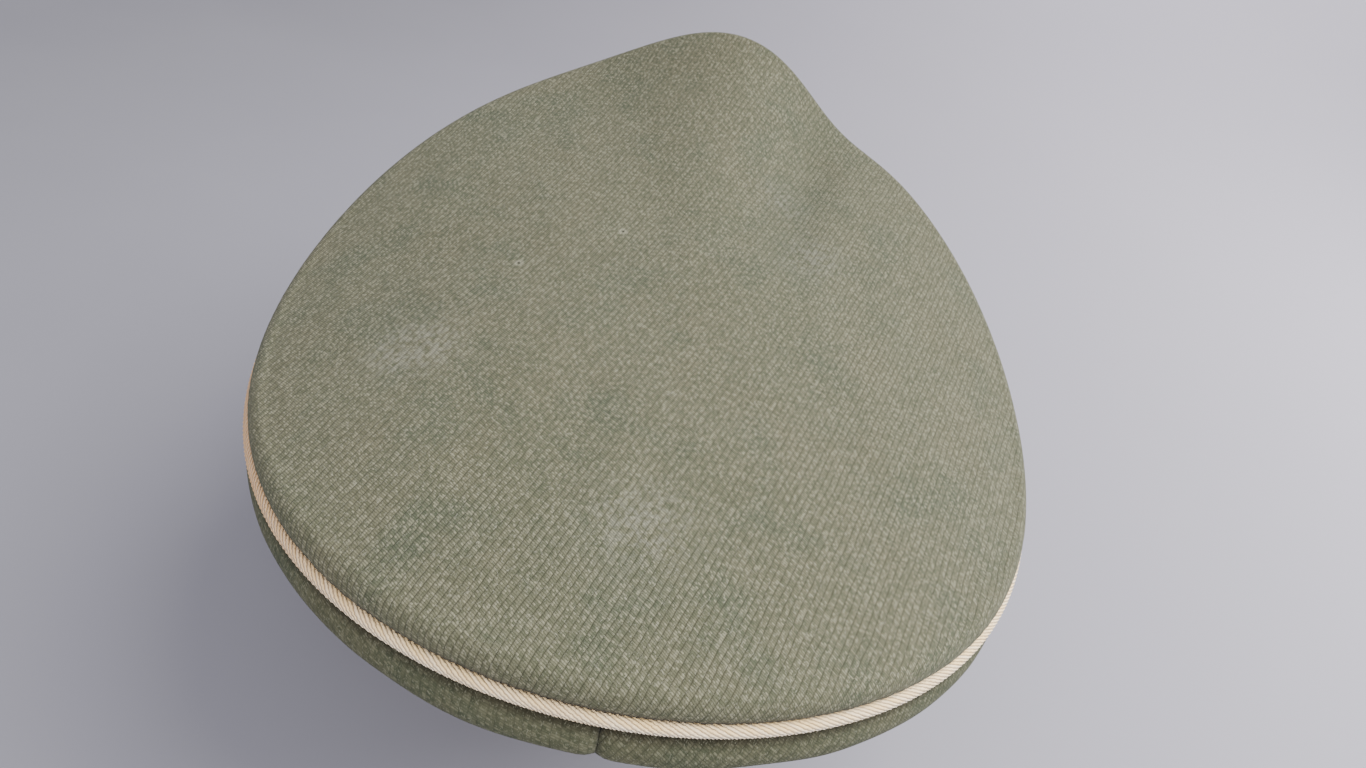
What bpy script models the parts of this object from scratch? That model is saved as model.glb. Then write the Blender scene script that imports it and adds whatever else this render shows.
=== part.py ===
"""A military peaked cap: cloth crown with a piped, rolled edge, stiffened band, visor and chin strap.

Frame: metres, +Z up, the visor at -Y, the wearer's left at +X. The origin is the middle of the head
opening, level with the lower rim of the band. Angles round the cap start at the back (+Y), so an
angle of pi is the middle of the front.
"""
import math

import bmesh
import bpy
from mathutils import Matrix, Vector

MM = 0.001
GAP = 0.3 * MM                    # clearance between pieces that touch
ROUND = 60                        # steps round the whole cap

# Head opening and the layers of the band, from the inside out
HEAD_LENGTH = 198 * MM
HEAD_WIDTH = 166 * MM
BAND_HEIGHT = 44 * MM
SWEATBAND_WALL = 1.2 * MM
SWEATBAND_ROOM = 1.4 * MM         # play behind the sweatband, where the pins are folded
SWEATBAND_HEIGHT = 40 * MM
BOW_KNOT = 3.2 * MM
BOW_LOOP = 7 * MM
BOW_STAND_OFF = 1.7 * MM
STIFFENER_WALL = 1.6 * MM
COVER_WALL = 1.6 * MM
BAND_PIPING_RADIUS = 1.25 * MM
BAND_PIPING_INSET = 2 * MM        # from the band's rims to the middle of its piping

# Crown: outline of the edge roll's centre line, and its height round the cap
CROWN_LENGTH = 284.2 * MM
CROWN_WIDTH = 261.7 * MM
CROWN_FORWARD = 9 * MM            # the crown sits this far forward of the band's middle
CROWN_HEIGHT = 76 * MM            # mean height of the edge roll above the band's lower rim
CROWN_EGG = 0.033                 # the back half is this much wider than an ellipse
CROWN_WARP = 0.0715               # fullness of the four corners
CROWN_TILT = 21.6 * MM            # front edge up and back edge down
CROWN_SADDLE = 14.2 * MM          # front and back up, sides down
PEAK_RISE = 19.2 * MM             # extra rise of the front over its spring
PEAK_TURN = math.radians(1.8)     # the peak leans to the wearer's right of the front
PEAK_SHARPNESS = 39               # a larger number makes a narrower peak
PEAK_REACH = 2.2                  # how quickly the ridge behind the peak dies away
NOTCH_DROP = 6 * MM               # dip of the edge beside the peak
NOTCH_ANGLE = math.radians(201.6)
NOTCH_SPREAD = math.radians(10.6)
CROWN_DOME = 10.8 * MM
REAR_FULLNESS = 4 * MM
ROLL_RADIUS = 5.5 * MM
CROWN_PIPING_RADIUS = 1.9 * MM
CLOTH = 1.5 * MM
PIPING_OUT = 0.95                 # piping's place beside the roll, in roll radii
PIPING_DOWN = 0.90
SIDE_BULGE = 8 * MM               # pull of the side panels outwards under the piping
REAR_SLACK = 10 * MM              # more of it at the back
SIDE_DROP = 16 * MM               # and downwards
PEAK_LEAN = 0.2                   # straightens the front panels over the spring
WIRE_RADIUS = 1.2 * MM
WIRE_ROOM = 0.5 * MM              # play between the wire and its felt
INTERLINING_WALL = 0.8 * MM
INTERLINING_SPREAD = 0.7          # radians to each side of the front
SPRING_WIDTH = 10 * MM
SPRING_WALL = 0.8 * MM
LINING_WALL = 0.6 * MM
LINING_DROP = 6.5 * MM
LINING_EDGE = 0.8                 # where the crown lining meets the side lining, from the middle
SHIELD_LENGTH = 150 * MM
SHIELD_WIDTH = 96 * MM
SHIELD_WALL = 0.4 * MM

# Visor
VISOR_LENGTH = 50 * MM
VISOR_SLOPE = math.radians(48)
VISOR_SPREAD = math.radians(66)   # to each side of the front
VISOR_END = 3 * MM
VISOR_WALL = 2.2 * MM
VISOR_CROWNING = 4 * MM
VISOR_LINING_WALL = 1.0 * MM
BINDING_WALL = 0.8 * MM
BINDING_WIDTH = 4.5 * MM
BINDING_SHARE = 0.95              # how much of the visor's spread the binding covers

# Chin strap
STRAP_WIDTH = 14 * MM
STRAP_WALL = 1.2 * MM
STRAP_RISE = 2.25 * MM            # from the lower piping up to the strap
STRAP_CLEARANCE = 3.4 * MM
STRAP_ARC = math.radians(50)      # the strap's round stretch, to each side of the front
STRAP_LAP = math.radians(48)      # how far round each strap's free end reaches
LAP_END = math.radians(74)        # the outer strap comes back to its button's level here
LAP_EASE = math.radians(18)
BUTTON_ANGLE = math.radians(72)   # place of the buttons on the band, from the front
BUTTON_RADIUS = 6 * MM
BUTTON_HEIGHT = 4 * MM
SHANK_RADIUS = 1.1 * MM
SHANK_PLAY = 0.4 * MM
WASHER_RADIUS = 5 * MM
WASHER_WALL = 1.6 * MM
PIN_LEG = 16 * MM
PIN_WIDTH = 2.2 * MM
PIN_WALL = 0.6 * MM
SLIDE_ANGLE = math.radians(40)
SLIDE_LENGTH = 7 * MM
SLIDE_WALL = 1.0 * MM
SLIDE_PLAY = 0.4 * MM

# Badge on the front of the crown
BADGE_RADIUS = 11 * MM
BADGE_HEIGHT = 4 * MM
BADGE_PLACE = 0.52                # from the piping down to the band
BADGE_PIN_SPREAD = 17 * MM
BADGE_PIN_RADIUS = 0.7 * MM

STRAP_LEVEL = BAND_PIPING_INSET + BAND_PIPING_RADIUS + STRAP_RISE + STRAP_WIDTH / 2
PADDING_WALL = ROLL_RADIUS - CLOTH - 3 * GAP - WIRE_RADIUS - WIRE_ROOM
COVER_OFFSET = SWEATBAND_WALL + SWEATBAND_ROOM + STIFFENER_WALL + GAP
BAND_OFFSET = COVER_OFFSET + COVER_WALL


def clear_scene():
    for ob in list(bpy.data.objects):
        bpy.data.objects.remove(ob, do_unlink=True)


def new_collection(name):
    group = bpy.data.collections.new(name)
    bpy.context.scene.collection.children.link(group)
    return group


def finish(name, color, roughness, metallic=0.0):
    """A plain Principled material."""
    material = bpy.data.materials.new(name)
    material.use_nodes = True
    shader = material.node_tree.nodes["Principled BSDF"]
    shader.inputs["Base Color"].default_value = (*color, 1.0)
    shader.inputs["Roughness"].default_value = roughness
    shader.inputs["Metallic"].default_value = metallic
    return material


def add_object(name, bm, material, group, recalc=True):
    if recalc:
        bmesh.ops.recalc_face_normals(bm, faces=bm.faces)
    mesh = bpy.data.meshes.new(name)
    bm.to_mesh(mesh)
    bm.free()
    mesh.shade_smooth()
    mesh.set_sharp_from_angle(angle=math.radians(40))
    ob = bpy.data.objects.new(name, mesh)
    group.objects.link(ob)
    mesh.materials.append(material)
    return ob


def sheet(name, rows, wall, material, group, closed=False):
    """A grid of points as an open surface, given its wall on its inner side.

    Rows run down or out from the crown's middle, and columns run with the angle round the cap.
    """
    bm = bmesh.new()
    grid = [[bm.verts.new(p) for p in row] for row in rows]
    columns = len(rows[0])
    for upper, lower in zip(grid, grid[1:]):
        for i in range(columns if closed else columns - 1):
            j = (i + 1) % columns
            bm.faces.new((upper[i], upper[j], lower[j], lower[i]))
    ob = add_object(name, bm, material, group, recalc=False)
    thicken(ob, wall)
    return ob


def thicken(ob, wall):
    solid = ob.modifiers.new("Wall", "SOLIDIFY")
    solid.thickness = wall
    solid.offset = -1.0


def loft(name, sections, material, group, ring=False):
    """Closed sections joined one to the next, capped at the ends or closed into a ring."""
    bm = bmesh.new()
    loops = [[bm.verts.new(p) for p in section] for section in sections]
    pairs = list(zip(loops, loops[1:])) + ([(loops[-1], loops[0])] if ring else [])
    count = len(sections[0])
    for first, second in pairs:
        for i in range(count):
            j = (i + 1) % count
            bm.faces.new((first[i], first[j], second[j], second[i]))
    if not ring:
        bm.faces.new(loops[0][::-1])
        bm.faces.new(loops[-1])
    return add_object(name, bm, material, group)


def cord_ring(name, points, radius, sides, material, group):
    """A closed cord or wire as a curve with a round bevel."""
    curve = bpy.data.curves.new(name, "CURVE")
    curve.dimensions = "3D"
    curve.bevel_depth = radius
    curve.bevel_resolution = sides
    spline = curve.splines.new("POLY")
    spline.points.add(len(points) - 1)
    for point, place in zip(spline.points, points):
        point.co = (*place, 1.0)
    spline.use_cyclic_u = True
    curve.materials.append(material)
    ob = bpy.data.objects.new(name, curve)
    group.objects.link(ob)
    return ob


def turned(name, profile, steps, material, group):
    """A profile of (radius, height) points turned about Z, listed from the top down."""
    bm = bmesh.new()
    verts = [bm.verts.new((r, 0, z)) for r, z in profile]
    for a, b in zip(verts, verts[1:]):
        bm.edges.new((a, b))
    ob = add_object(name, bm, material, group, recalc=False)
    screw = ob.modifiers.new("Turn", "SCREW")
    screw.steps = steps
    screw.render_steps = steps
    screw.use_merge_vertices = True
    screw.merge_threshold = 0.00001
    return ob


def cylinder(radius, length, segments):
    bm = bmesh.new()
    bmesh.ops.create_cone(bm, cap_ends=True, segments=segments, radius1=radius, radius2=radius,
                          depth=length)
    return bm


def box(size):
    bm = bmesh.new()
    bmesh.ops.create_cube(bm, size=1.0)
    bmesh.ops.scale(bm, vec=size, verts=bm.verts)
    return bm


def cut(target, cutter, operation="DIFFERENCE"):
    cutter.hide_render = True
    cutter.display_type = "WIRE"
    boolean = target.modifiers.new("Cut", "BOOLEAN")
    boolean.operation = operation
    boolean.object = cutter


# ---- Shapes that several pieces share -------------------------------------------------------

def angles(count=ROUND):
    return [math.tau * i / count for i in range(count)]


def spread(low, high, count):
    return [low + (high - low) * i / (count - 1) for i in range(count)]


def band_normal(angle):
    normal = Vector((math.sin(angle) / HEAD_WIDTH, math.cos(angle) / HEAD_LENGTH, 0))
    return normal.normalized()


def band_point(angle, offset, z):
    """A point outside the head opening by an offset square to its oval."""
    place = Vector((HEAD_WIDTH / 2 * math.sin(angle), HEAD_LENGTH / 2 * math.cos(angle), z))
    return place + band_normal(angle) * offset


def crown_point(reach, angle):
    """A point of the crown's form through the roll's centre line; reach is 0 in the middle, 1 there."""
    turn = angle + CROWN_WARP * math.sin(2 * angle)
    x = CROWN_WIDTH / 2 * math.sin(turn) * (1 + CROWN_EGG * math.cos(turn)) * reach
    y = CROWN_LENGTH / 2 * math.cos(turn) * reach - CROWN_FORWARD
    lobe = ((1 - math.cos(angle - PEAK_TURN)) / 2) ** PEAK_SHARPNESS
    notch = math.exp(-((angle % math.tau - NOTCH_ANGLE) / NOTCH_SPREAD) ** 2)
    inner = 1 - reach ** 2
    z = CROWN_HEIGHT - CROWN_TILT * reach * math.cos(angle)
    z += CROWN_SADDLE * reach ** 2 * math.cos(2 * angle)
    z += (PEAK_RISE * lobe - NOTCH_DROP * notch) * reach ** PEAK_REACH
    z += CROWN_DOME * inner + REAR_FULLNESS * reach * inner * math.cos(angle)
    return Vector((x, y, z))


def rim_along(angle):
    step = 0.01
    return (crown_point(1, angle + step) - crown_point(1, angle - step)).normalized()


def rim_normal(angle):
    """Level and outwards, square to the edge."""
    along = rim_along(angle)
    return Vector((-along.y, along.x, 0)).normalized()


def rim_up(angle):
    """Upwards, square to the edge and to its level normal."""
    return rim_along(angle).cross(rim_normal(angle))


def roll_point(angle, radius, lift):
    """A point on a tube about the roll's centre line; a lift of 0 points outwards."""
    place = crown_point(1, angle) + rim_normal(angle) * radius * math.cos(lift)
    return place + rim_up(angle) * radius * math.sin(lift)


def top_point(reach, angle):
    """The top panel's upper surface, which meets the roll at a reach of 1."""
    up = Vector((0, 0, 1)).lerp(rim_up(angle), reach ** 4).normalized()
    return crown_point(reach, angle) + up * ROLL_RADIUS


def piping_point(angle):
    place = crown_point(1, angle) + rim_normal(angle) * ROLL_RADIUS * PIPING_OUT
    return place - rim_up(angle) * ROLL_RADIUS * PIPING_DOWN


def side_point(angle, down):
    """The side panels' outer surface; down is 0 under the piping and 1 at the band."""
    normal = rim_normal(angle)
    rear = max(0.0, math.cos(angle)) ** 2
    front = max(0.0, -math.cos(angle)) ** 2
    top = piping_point(angle) - normal * 0.2 * CROWN_PIPING_RADIUS
    top.z -= (CROWN_PIPING_RADIUS + 1.5 * GAP) / rim_up(angle).z
    foot = band_point(angle, BAND_OFFSET - COVER_WALL / 2, BAND_HEIGHT + GAP)
    fall = top.z - foot.z
    reach = (top.xy - foot.xy).length
    bulge = SIDE_BULGE * (1 - front) + REAR_SLACK * rear - PEAK_LEAN * reach * front
    upper = top + normal * bulge - Vector((0, 0, max(0.35 * fall, SIDE_DROP)))
    lower = foot + normal * reach * (0.5 - PEAK_LEAN * front) + Vector((0, 0, 0.3 * fall * front + GAP))
    near = 1 - down
    return (top * near ** 3 + upper * 3 * near ** 2 * down
            + lower * 3 * near * down ** 2 + foot * down ** 3)


def side_inner(angle, down, depth):
    """A point a given depth inside the side panels' outer surface."""
    step = 0.01
    across = side_point(angle + step, down) - side_point(angle - step, down)
    fall = side_point(angle, down + step) - side_point(angle, down - step)
    return side_point(angle, down) + fall.cross(across).normalized() * depth


def lining_point(reach, angle):
    return crown_point(reach, angle) + Vector((0, 0, ROLL_RADIUS - CLOTH - LINING_DROP))


# ---- Crown ----------------------------------------------------------------------------------

def make_crown_top(material, group):
    """The top panel, turned down over the roll as far as the piping."""
    lifts = [math.radians(a) for a in (50, 12, -26)]
    rows = [[top_point(reach, a) for a in angles()] for reach in (0.15, 0.4, 0.62, 0.8, 0.93, 1.0)]
    rows += [[roll_point(a, ROLL_RADIUS, lift) for a in angles()] for lift in lifts]
    bm = bmesh.new()
    grid = [[bm.verts.new(p) for p in row] for row in rows]
    middle = bm.verts.new(top_point(0, 0))
    for i in range(ROUND):
        j = (i + 1) % ROUND
        bm.faces.new((middle, grid[0][j], grid[0][i]))
        for inner, outer in zip(grid, grid[1:]):
            bm.faces.new((inner[i], inner[j], outer[j], outer[i]))
    ob = add_object("crown_top", bm, material, group, recalc=False)
    thicken(ob, CLOTH)
    return ob


def make_side_panels(material, group):
    """Four quarter panels with seams at the back, the front and both sides."""
    quarters = (("side_rear_left", 0), ("side_front_left", 1),
                ("side_front_right", 2), ("side_rear_right", 3))
    seam = 2 * GAP / CROWN_WIDTH
    panels = {}
    for name, quarter in quarters:
        start = quarter * math.pi / 2 + seam
        columns = spread(start, start + math.pi / 2 - 2 * seam, ROUND // 4 + 1)
        rows = [[side_point(a, down) for a in columns]
                for down in (0, 0.12, 0.25, 0.4, 0.6, 0.8, 1.0)]
        panels[name] = sheet(name, rows, CLOTH, material, group)
    return panels


def make_crown_piping(material, group):
    points = [piping_point(a) for a in angles()]
    return cord_ring("crown_piping", points, CROWN_PIPING_RADIUS, 2, material, group)


def make_crown_frame(wire_material, felt_material, group):
    """The steel hoop that spreads the crown, in a felt gutter that fills the roll."""
    points = [crown_point(1, a) for a in angles()]
    cord_ring("crown_wire", points, WIRE_RADIUS, 1, wire_material, group)
    outer = ROLL_RADIUS - CLOTH - 3 * GAP
    inner = outer - PADDING_WALL
    lifts = [math.radians(a) for a in spread(150, -70, 6)]
    sections = []
    for angle in angles():
        section = [roll_point(angle, outer, lift) for lift in lifts]
        section += [roll_point(angle, inner, lift) for lift in reversed(lifts)]
        sections.append(section)
    loft("edge_padding", sections, felt_material, group, ring=True)


def make_front_support(spring_material, canvas_material, group):
    """Canvas behind the front panels, and the flat spring that holds the peak up."""
    depth = CLOTH + 2 * GAP
    columns = spread(math.pi - INTERLINING_SPREAD, math.pi + INTERLINING_SPREAD, 15)
    rows = [[side_inner(a, down, depth) for a in columns] for down in (0.2, 0.4, 0.6, 0.8, 0.94)]
    canvas = sheet("front_interlining", rows, INTERLINING_WALL, canvas_material, group)
    depth += INTERLINING_WALL + GAP * 2
    sections = []
    for down in spread(0.12, 0.92, 14):
        middle = side_inner(math.pi, down, depth)
        inward = side_inner(math.pi, down, depth + SPRING_WALL) - middle
        half = Vector((SPRING_WIDTH / 2, 0, 0))
        sections.append([middle - half, middle + half, middle + half + inward, middle - half + inward])
    loft("front_spring", sections, spring_material, group)
    return canvas


def make_linings(satin, shield_material, group):
    """Crown lining, side lining, and the clear shield under the crown lining."""
    columns = angles(48)
    bm = bmesh.new()
    reaches = (0.2, 0.4, 0.6, LINING_EDGE)
    grid = [[bm.verts.new(lining_point(reach, a)) for a in columns] for reach in reaches]
    middle = bm.verts.new(lining_point(0, 0))
    for i in range(len(columns)):
        j = (i + 1) % len(columns)
        bm.faces.new((middle, grid[0][j], grid[0][i]))
        for inner, outer in zip(grid, grid[1:]):
            bm.faces.new((inner[i], inner[j], outer[j], outer[i]))
    thicken(add_object("crown_lining", bm, satin, group, recalc=False), LINING_WALL)

    foot_offset = SWEATBAND_WALL + SWEATBAND_ROOM / 2
    rows = []
    for down in spread(0, 1, 5):
        row = []
        for angle in columns:
            top = lining_point(LINING_EDGE, angle) - Vector((0, 0, LINING_WALL + 2 * GAP))
            foot = band_point(angle, foot_offset, BAND_HEIGHT + GAP)
            row.append(top.lerp(foot, down))
        rows.append(row)
    sheet("side_lining", rows, LINING_WALL, satin, group, closed=True)

    bm = bmesh.new()
    grid = []
    for share in (0.33, 0.66, 1.0):
        row = []
        for angle in angles(32):
            size = share / (abs(math.sin(angle)) + abs(math.cos(angle)))
            x = SHIELD_WIDTH / 2 * size * math.sin(angle)
            y = SHIELD_LENGTH / 2 * size * math.cos(angle)
            reach = math.hypot(x / (CROWN_WIDTH / 2), y / (CROWN_LENGTH / 2))
            turn = math.atan2(x / CROWN_WIDTH, y / CROWN_LENGTH)
            place = lining_point(reach, turn)
            row.append(bm.verts.new((x, y - CROWN_FORWARD, place.z - LINING_WALL - 3 * GAP)))
        grid.append(row)
    middle = bm.verts.new(lining_point(0, 0) - Vector((0, 0, LINING_WALL + 3 * GAP)))
    for i in range(32):
        j = (i + 1) % 32
        bm.faces.new((middle, grid[0][j], grid[0][i]))
        for inner, outer in zip(grid, grid[1:]):
            bm.faces.new((inner[i], inner[j], outer[j], outer[i]))
    thicken(add_object("sweat_shield", bm, shield_material, group, recalc=False), SHIELD_WALL)


# ---- Band -----------------------------------------------------------------------------------

def band_ring(name, inner, outer, low, high, material, group):
    sections = []
    for angle in angles():
        sections.append([band_point(angle, inner, low), band_point(angle, outer, low),
                         band_point(angle, outer, high), band_point(angle, inner, high)])
    return loft(name, sections, material, group, ring=True)


def make_band(cloth, fibre, leather, cord, group):
    stiffener_offset = SWEATBAND_WALL + SWEATBAND_ROOM
    cover = band_ring("band_cover", COVER_OFFSET, BAND_OFFSET, 0, BAND_HEIGHT, cloth, group)
    stiffener = band_ring("band_stiffener", stiffener_offset, stiffener_offset + STIFFENER_WALL,
                          0, BAND_HEIGHT, fibre, group)
    band_ring("sweatband", 0, SWEATBAND_WALL, GAP, SWEATBAND_HEIGHT, leather, group)
    for name, level in (("band_piping_lower", BAND_PIPING_INSET),
                        ("band_piping_upper", BAND_HEIGHT - BAND_PIPING_INSET)):
        offset = BAND_OFFSET + BAND_PIPING_RADIUS + GAP
        points = [band_point(a, offset, level) for a in angles()]
        cord_ring(name, points, BAND_PIPING_RADIUS, 1, cord, group)
    return cover, stiffener


def make_bow(ribbon, group, cutters):
    """The little ribbon bow that ties the sweatband's ends at the back."""
    level = SWEATBAND_HEIGHT - 6 * MM
    depth = HEAD_LENGTH / 2 - BOW_STAND_OFF
    knot = add_object("sweatband_bow", box((BOW_KNOT, BOW_KNOT / 2, BOW_KNOT)), ribbon, group)
    knot.matrix_world = Matrix.Translation((0, depth, level))
    for sign in (1, -1):
        loop = add_object("bow_loop", box((BOW_LOOP, BOW_KNOT / 3, BOW_KNOT * 1.3)), ribbon, cutters)
        loop.matrix_world = Matrix.Translation((sign * (BOW_LOOP + BOW_KNOT * 0.8) / 2, depth, level))
        cut(knot, loop, "UNION")


# ---- Visor ----------------------------------------------------------------------------------

def visor_reach(side):
    """Length of the visor from the band to its edge; side is -1 to 1 across it."""
    return VISOR_END + (VISOR_LENGTH - VISOR_END) * math.sqrt(max(0.0, 1 - side ** 2))


def visor_point(side, out, depth=0.0):
    """The visor's upper surface, or a depth under it; out is 0 at the band, 1 at the edge."""
    angle = math.pi + side * VISOR_SPREAD
    root = band_point(angle, COVER_OFFSET, -GAP)
    normal = band_normal(angle)
    down = Vector((0, 0, -1))
    along = normal * math.cos(VISOR_SLOPE) + down * math.sin(VISOR_SLOPE)
    above = normal * math.sin(VISOR_SLOPE) - down * math.cos(VISOR_SLOPE)
    reach = visor_reach(side)
    rise = VISOR_CROWNING * (reach / VISOR_LENGTH) * 4 * out * (1 - out) - depth
    return root + along * reach * out + above * rise


def visor_sides(share, count):
    """Places across the visor, closer together towards its ends."""
    return [math.sin(turn) * share for turn in spread(-math.pi / 2, math.pi / 2, count)]


def visor_rows(share, inset, depth):
    """Rows from an inset inside the band end to the same inset from the edge."""
    rows = []
    for out in spread(0, 1, 6):
        row = []
        for side in visor_sides(share, 33):
            start = inset / visor_reach(side)
            row.append(visor_point(side, start + (1 - 2 * start) * out, depth))
        rows.append(row)
    return rows


def make_visor(fibre, leather, binding, group):
    sheet("visor", visor_rows(1, 0, 0), VISOR_WALL, fibre, group)
    inset = BINDING_WIDTH * 2
    sheet("visor_lining", visor_rows(0.9, inset, VISOR_WALL + 1.5 * GAP), VISOR_LINING_WALL,
          leather, group)

    sections = []
    play = 2.5 * GAP
    inner_low = -VISOR_WALL - play
    outer_low = inner_low - BINDING_WALL
    for side in visor_sides(BINDING_SHARE, 41):
        edge = visor_point(side, 1)
        along = (visor_point(side + 0.002, 1) - visor_point(side - 0.002, 1)).normalized()
        above = (visor_point(side, 0.95) - edge).cross(along).normalized()
        back = along.cross(above)
        width = min(BINDING_WIDTH, 0.7 * visor_reach(side))
        outline = ((width, play), (-GAP, play), (-GAP, inner_low), (width, inner_low),
                   (width, outer_low), (-GAP - BINDING_WALL, outer_low),
                   (-GAP - BINDING_WALL, play + BINDING_WALL), (width, play + BINDING_WALL))
        sections.append([edge + back * u + above * v for u, v in outline])
    loft("visor_binding", sections, binding, group)


# ---- Chin strap -----------------------------------------------------------------------------

def strap_centre():
    """Middle of the front curve of the head oval; the strap's round stretch shares it."""
    return -(HEAD_LENGTH / 2 - front_radius())


def front_radius():
    return (HEAD_WIDTH / 2) ** 2 / (HEAD_LENGTH / 2)


def strap_radius():
    return front_radius() + BAND_OFFSET + STRAP_CLEARANCE


def button_place():
    """Where a button's axis meets the band, on the +X side."""
    return band_point(math.pi - BUTTON_ANGLE, BAND_OFFSET, STRAP_LEVEL)


def strap_end_y():
    return button_place().y + STRAP_WIDTH / 2


def washer_face():
    """X of the washer's inner face: clear of the band behind the button."""
    behind = button_place().y + WASHER_RADIUS
    share = math.sqrt(1 - (behind / (HEAD_LENGTH / 2 + BAND_OFFSET)) ** 2)
    return (HEAD_WIDTH / 2 + BAND_OFFSET) * share + GAP


def strap_face():
    """X of the strap's inner face at the buttons."""
    return washer_face() + WASHER_WALL + GAP


def strap_line(count_arc=30, count_side=10):
    """The strap's inner face in plan, from the +X end round the front to the -X end."""
    centre = Vector((0, strap_centre()))
    radius = strap_radius()
    start = centre + Vector((math.sin(STRAP_ARC), -math.cos(STRAP_ARC))) * radius
    heading = Vector((math.cos(STRAP_ARC), math.sin(STRAP_ARC)))
    button = Vector((strap_face(), button_place().y - STRAP_WIDTH / 2))
    pull = (button - start).length
    side = [Vector((button.x, strap_end_y() - s)) for s in spread(0, STRAP_WIDTH, 9)]
    for share in spread(0, 1, count_side)[1:-1]:
        near = 1 - share
        side.append(button * near ** 3 + (button - Vector((0, pull / 3))) * 3 * near ** 2 * share
                    + (start - heading * -pull / 3) * 3 * near * share ** 2 + start * share ** 3)
    arc = [centre + Vector((math.sin(a), -math.cos(a))) * radius
           for a in spread(STRAP_ARC, -STRAP_ARC, count_arc)]
    return side + arc + [Vector((-p.x, p.y)) for p in reversed(side)]


def make_strap(name, outer, leather, group):
    """One strap: full length from its own button to a free end short of the other button.

    The outer strap starts at +X and lies over the inner one, which starts at -X.
    """
    line = strap_line()
    if not outer:
        line = [Vector((-p.x, p.y)) for p in line]
    centre = Vector((0, strap_centre()))
    kept = []
    for point in line:
        polar = math.atan2(point.x - centre.x, -(point.y - centre.y))
        if polar * (1 if outer else -1) > -STRAP_LAP:
            kept.append((point, polar))
    lap = STRAP_WALL + GAP
    sections = []
    first = kept[0][0]
    last = kept[-1][0]
    for index, (point, polar) in enumerate(kept):
        before = kept[max(index - 1, 0)][0]
        after = kept[min(index + 1, len(kept) - 1)][0]
        along = (after - before).normalized()
        normal = Vector((along.y, -along.x))
        if normal.dot(point - centre) < 0:
            normal.negate()
        lift = 0.0
        if outer:
            share = (LAP_END - polar) / LAP_EASE
            share = min(max(share, 0.0), 1.0)
            lift = lap * share * share * (3 - 2 * share)
        base = point + normal * lift
        face = base + normal * STRAP_WALL
        half = STRAP_WIDTH / 2
        from_end = half - min((point - first).length, (point - last).length, half)
        half = max(math.sqrt(half ** 2 - from_end ** 2), 0.35 * half)
        low, high = STRAP_LEVEL - half, STRAP_LEVEL + half
        sections.append([Vector((*base, low)), Vector((*face, low)),
                         Vector((*face, high)), Vector((*base, high))])
    return loft(name, sections, leather, group)


def make_slide(name, sign, metal, group, cutters):
    """A flat metal loop round both straps."""
    angle = SLIDE_ANGLE * sign
    middle = strap_radius() + STRAP_WALL + GAP / 2
    room = 2 * STRAP_WALL + GAP + 2 * SLIDE_PLAY
    height = STRAP_WIDTH + 2 * SLIDE_PLAY
    place = (Matrix.Translation((0, strap_centre(), STRAP_LEVEL))
             @ Matrix.Rotation(angle, 4, "Z") @ Matrix.Translation((0, -middle, 0)))
    loop = add_object(name, box((SLIDE_LENGTH, room + 2 * SLIDE_WALL, height + 2 * SLIDE_WALL)),
                      metal, group)
    hole = add_object(name + "_hole", box((SLIDE_LENGTH * 2, room, height)), metal, cutters)
    loop.matrix_world = place
    hole.matrix_world = place
    cut(loop, hole)
    soften = loop.modifiers.new("Edges", "BEVEL")
    soften.width = 0.25 * MM
    soften.segments = 1
    return loop


def make_button(side, sign, metal, washer_leather, steel, group, cutters, drilled):
    """A button with its washer and split pin; the strap turns on the pin."""
    outer_face = strap_face() + STRAP_WALL + GAP
    place = button_place()
    turn = Matrix.Rotation(math.pi / 2 * sign, 4, "Y")

    def on_axis(x):
        return Matrix.Translation((x * sign, place.y, STRAP_LEVEL)) @ turn

    profile = [(0, BUTTON_HEIGHT)]
    profile += [(BUTTON_RADIUS * math.sin(a), BUTTON_HEIGHT * (0.3 + 0.7 * math.cos(a)))
                for a in spread(0.3, math.pi / 2, 5)]
    profile += [(BUTTON_RADIUS * 0.9, 0), (0, 0)]
    button = turned("button_" + side, profile, 24, metal, group)
    button.matrix_world = on_axis(outer_face)

    washer = add_object("button_washer_" + side, cylinder(WASHER_RADIUS, WASHER_WALL, 24),
                        washer_leather, group)
    washer.matrix_world = on_axis(washer_face() + WASHER_WALL / 2)

    normal = band_normal(math.pi - BUTTON_ANGLE * sign)
    legs_offset = SWEATBAND_WALL + SWEATBAND_ROOM / 2
    legs_place = band_point(math.pi - BUTTON_ANGLE * sign, legs_offset, STRAP_LEVEL)
    legs_place.y = place.y
    shank_low = abs(legs_place.x)
    shank_high = outer_face - GAP
    pin = add_object("button_pin_" + side, cylinder(SHANK_RADIUS, shank_high - shank_low, 16),
                     steel, group)
    pin.matrix_world = on_axis((shank_low + shank_high) / 2)
    legs = add_object("button_pin_legs", box((PIN_WALL, PIN_WIDTH, PIN_LEG)), steel, cutters)
    lean = Matrix.Rotation(math.atan2(normal.y, normal.x), 4, "Z")
    legs.matrix_world = Matrix.Translation(legs_place) @ lean
    cut(pin, legs, "UNION")

    hole = add_object("button_hole", cylinder(SHANK_RADIUS + SHANK_PLAY, 6 * WASHER_RADIUS, 16),
                      steel, cutters)
    hole.matrix_world = on_axis(outer_face)
    for target in (washer, *drilled):
        cut(target, hole)


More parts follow.
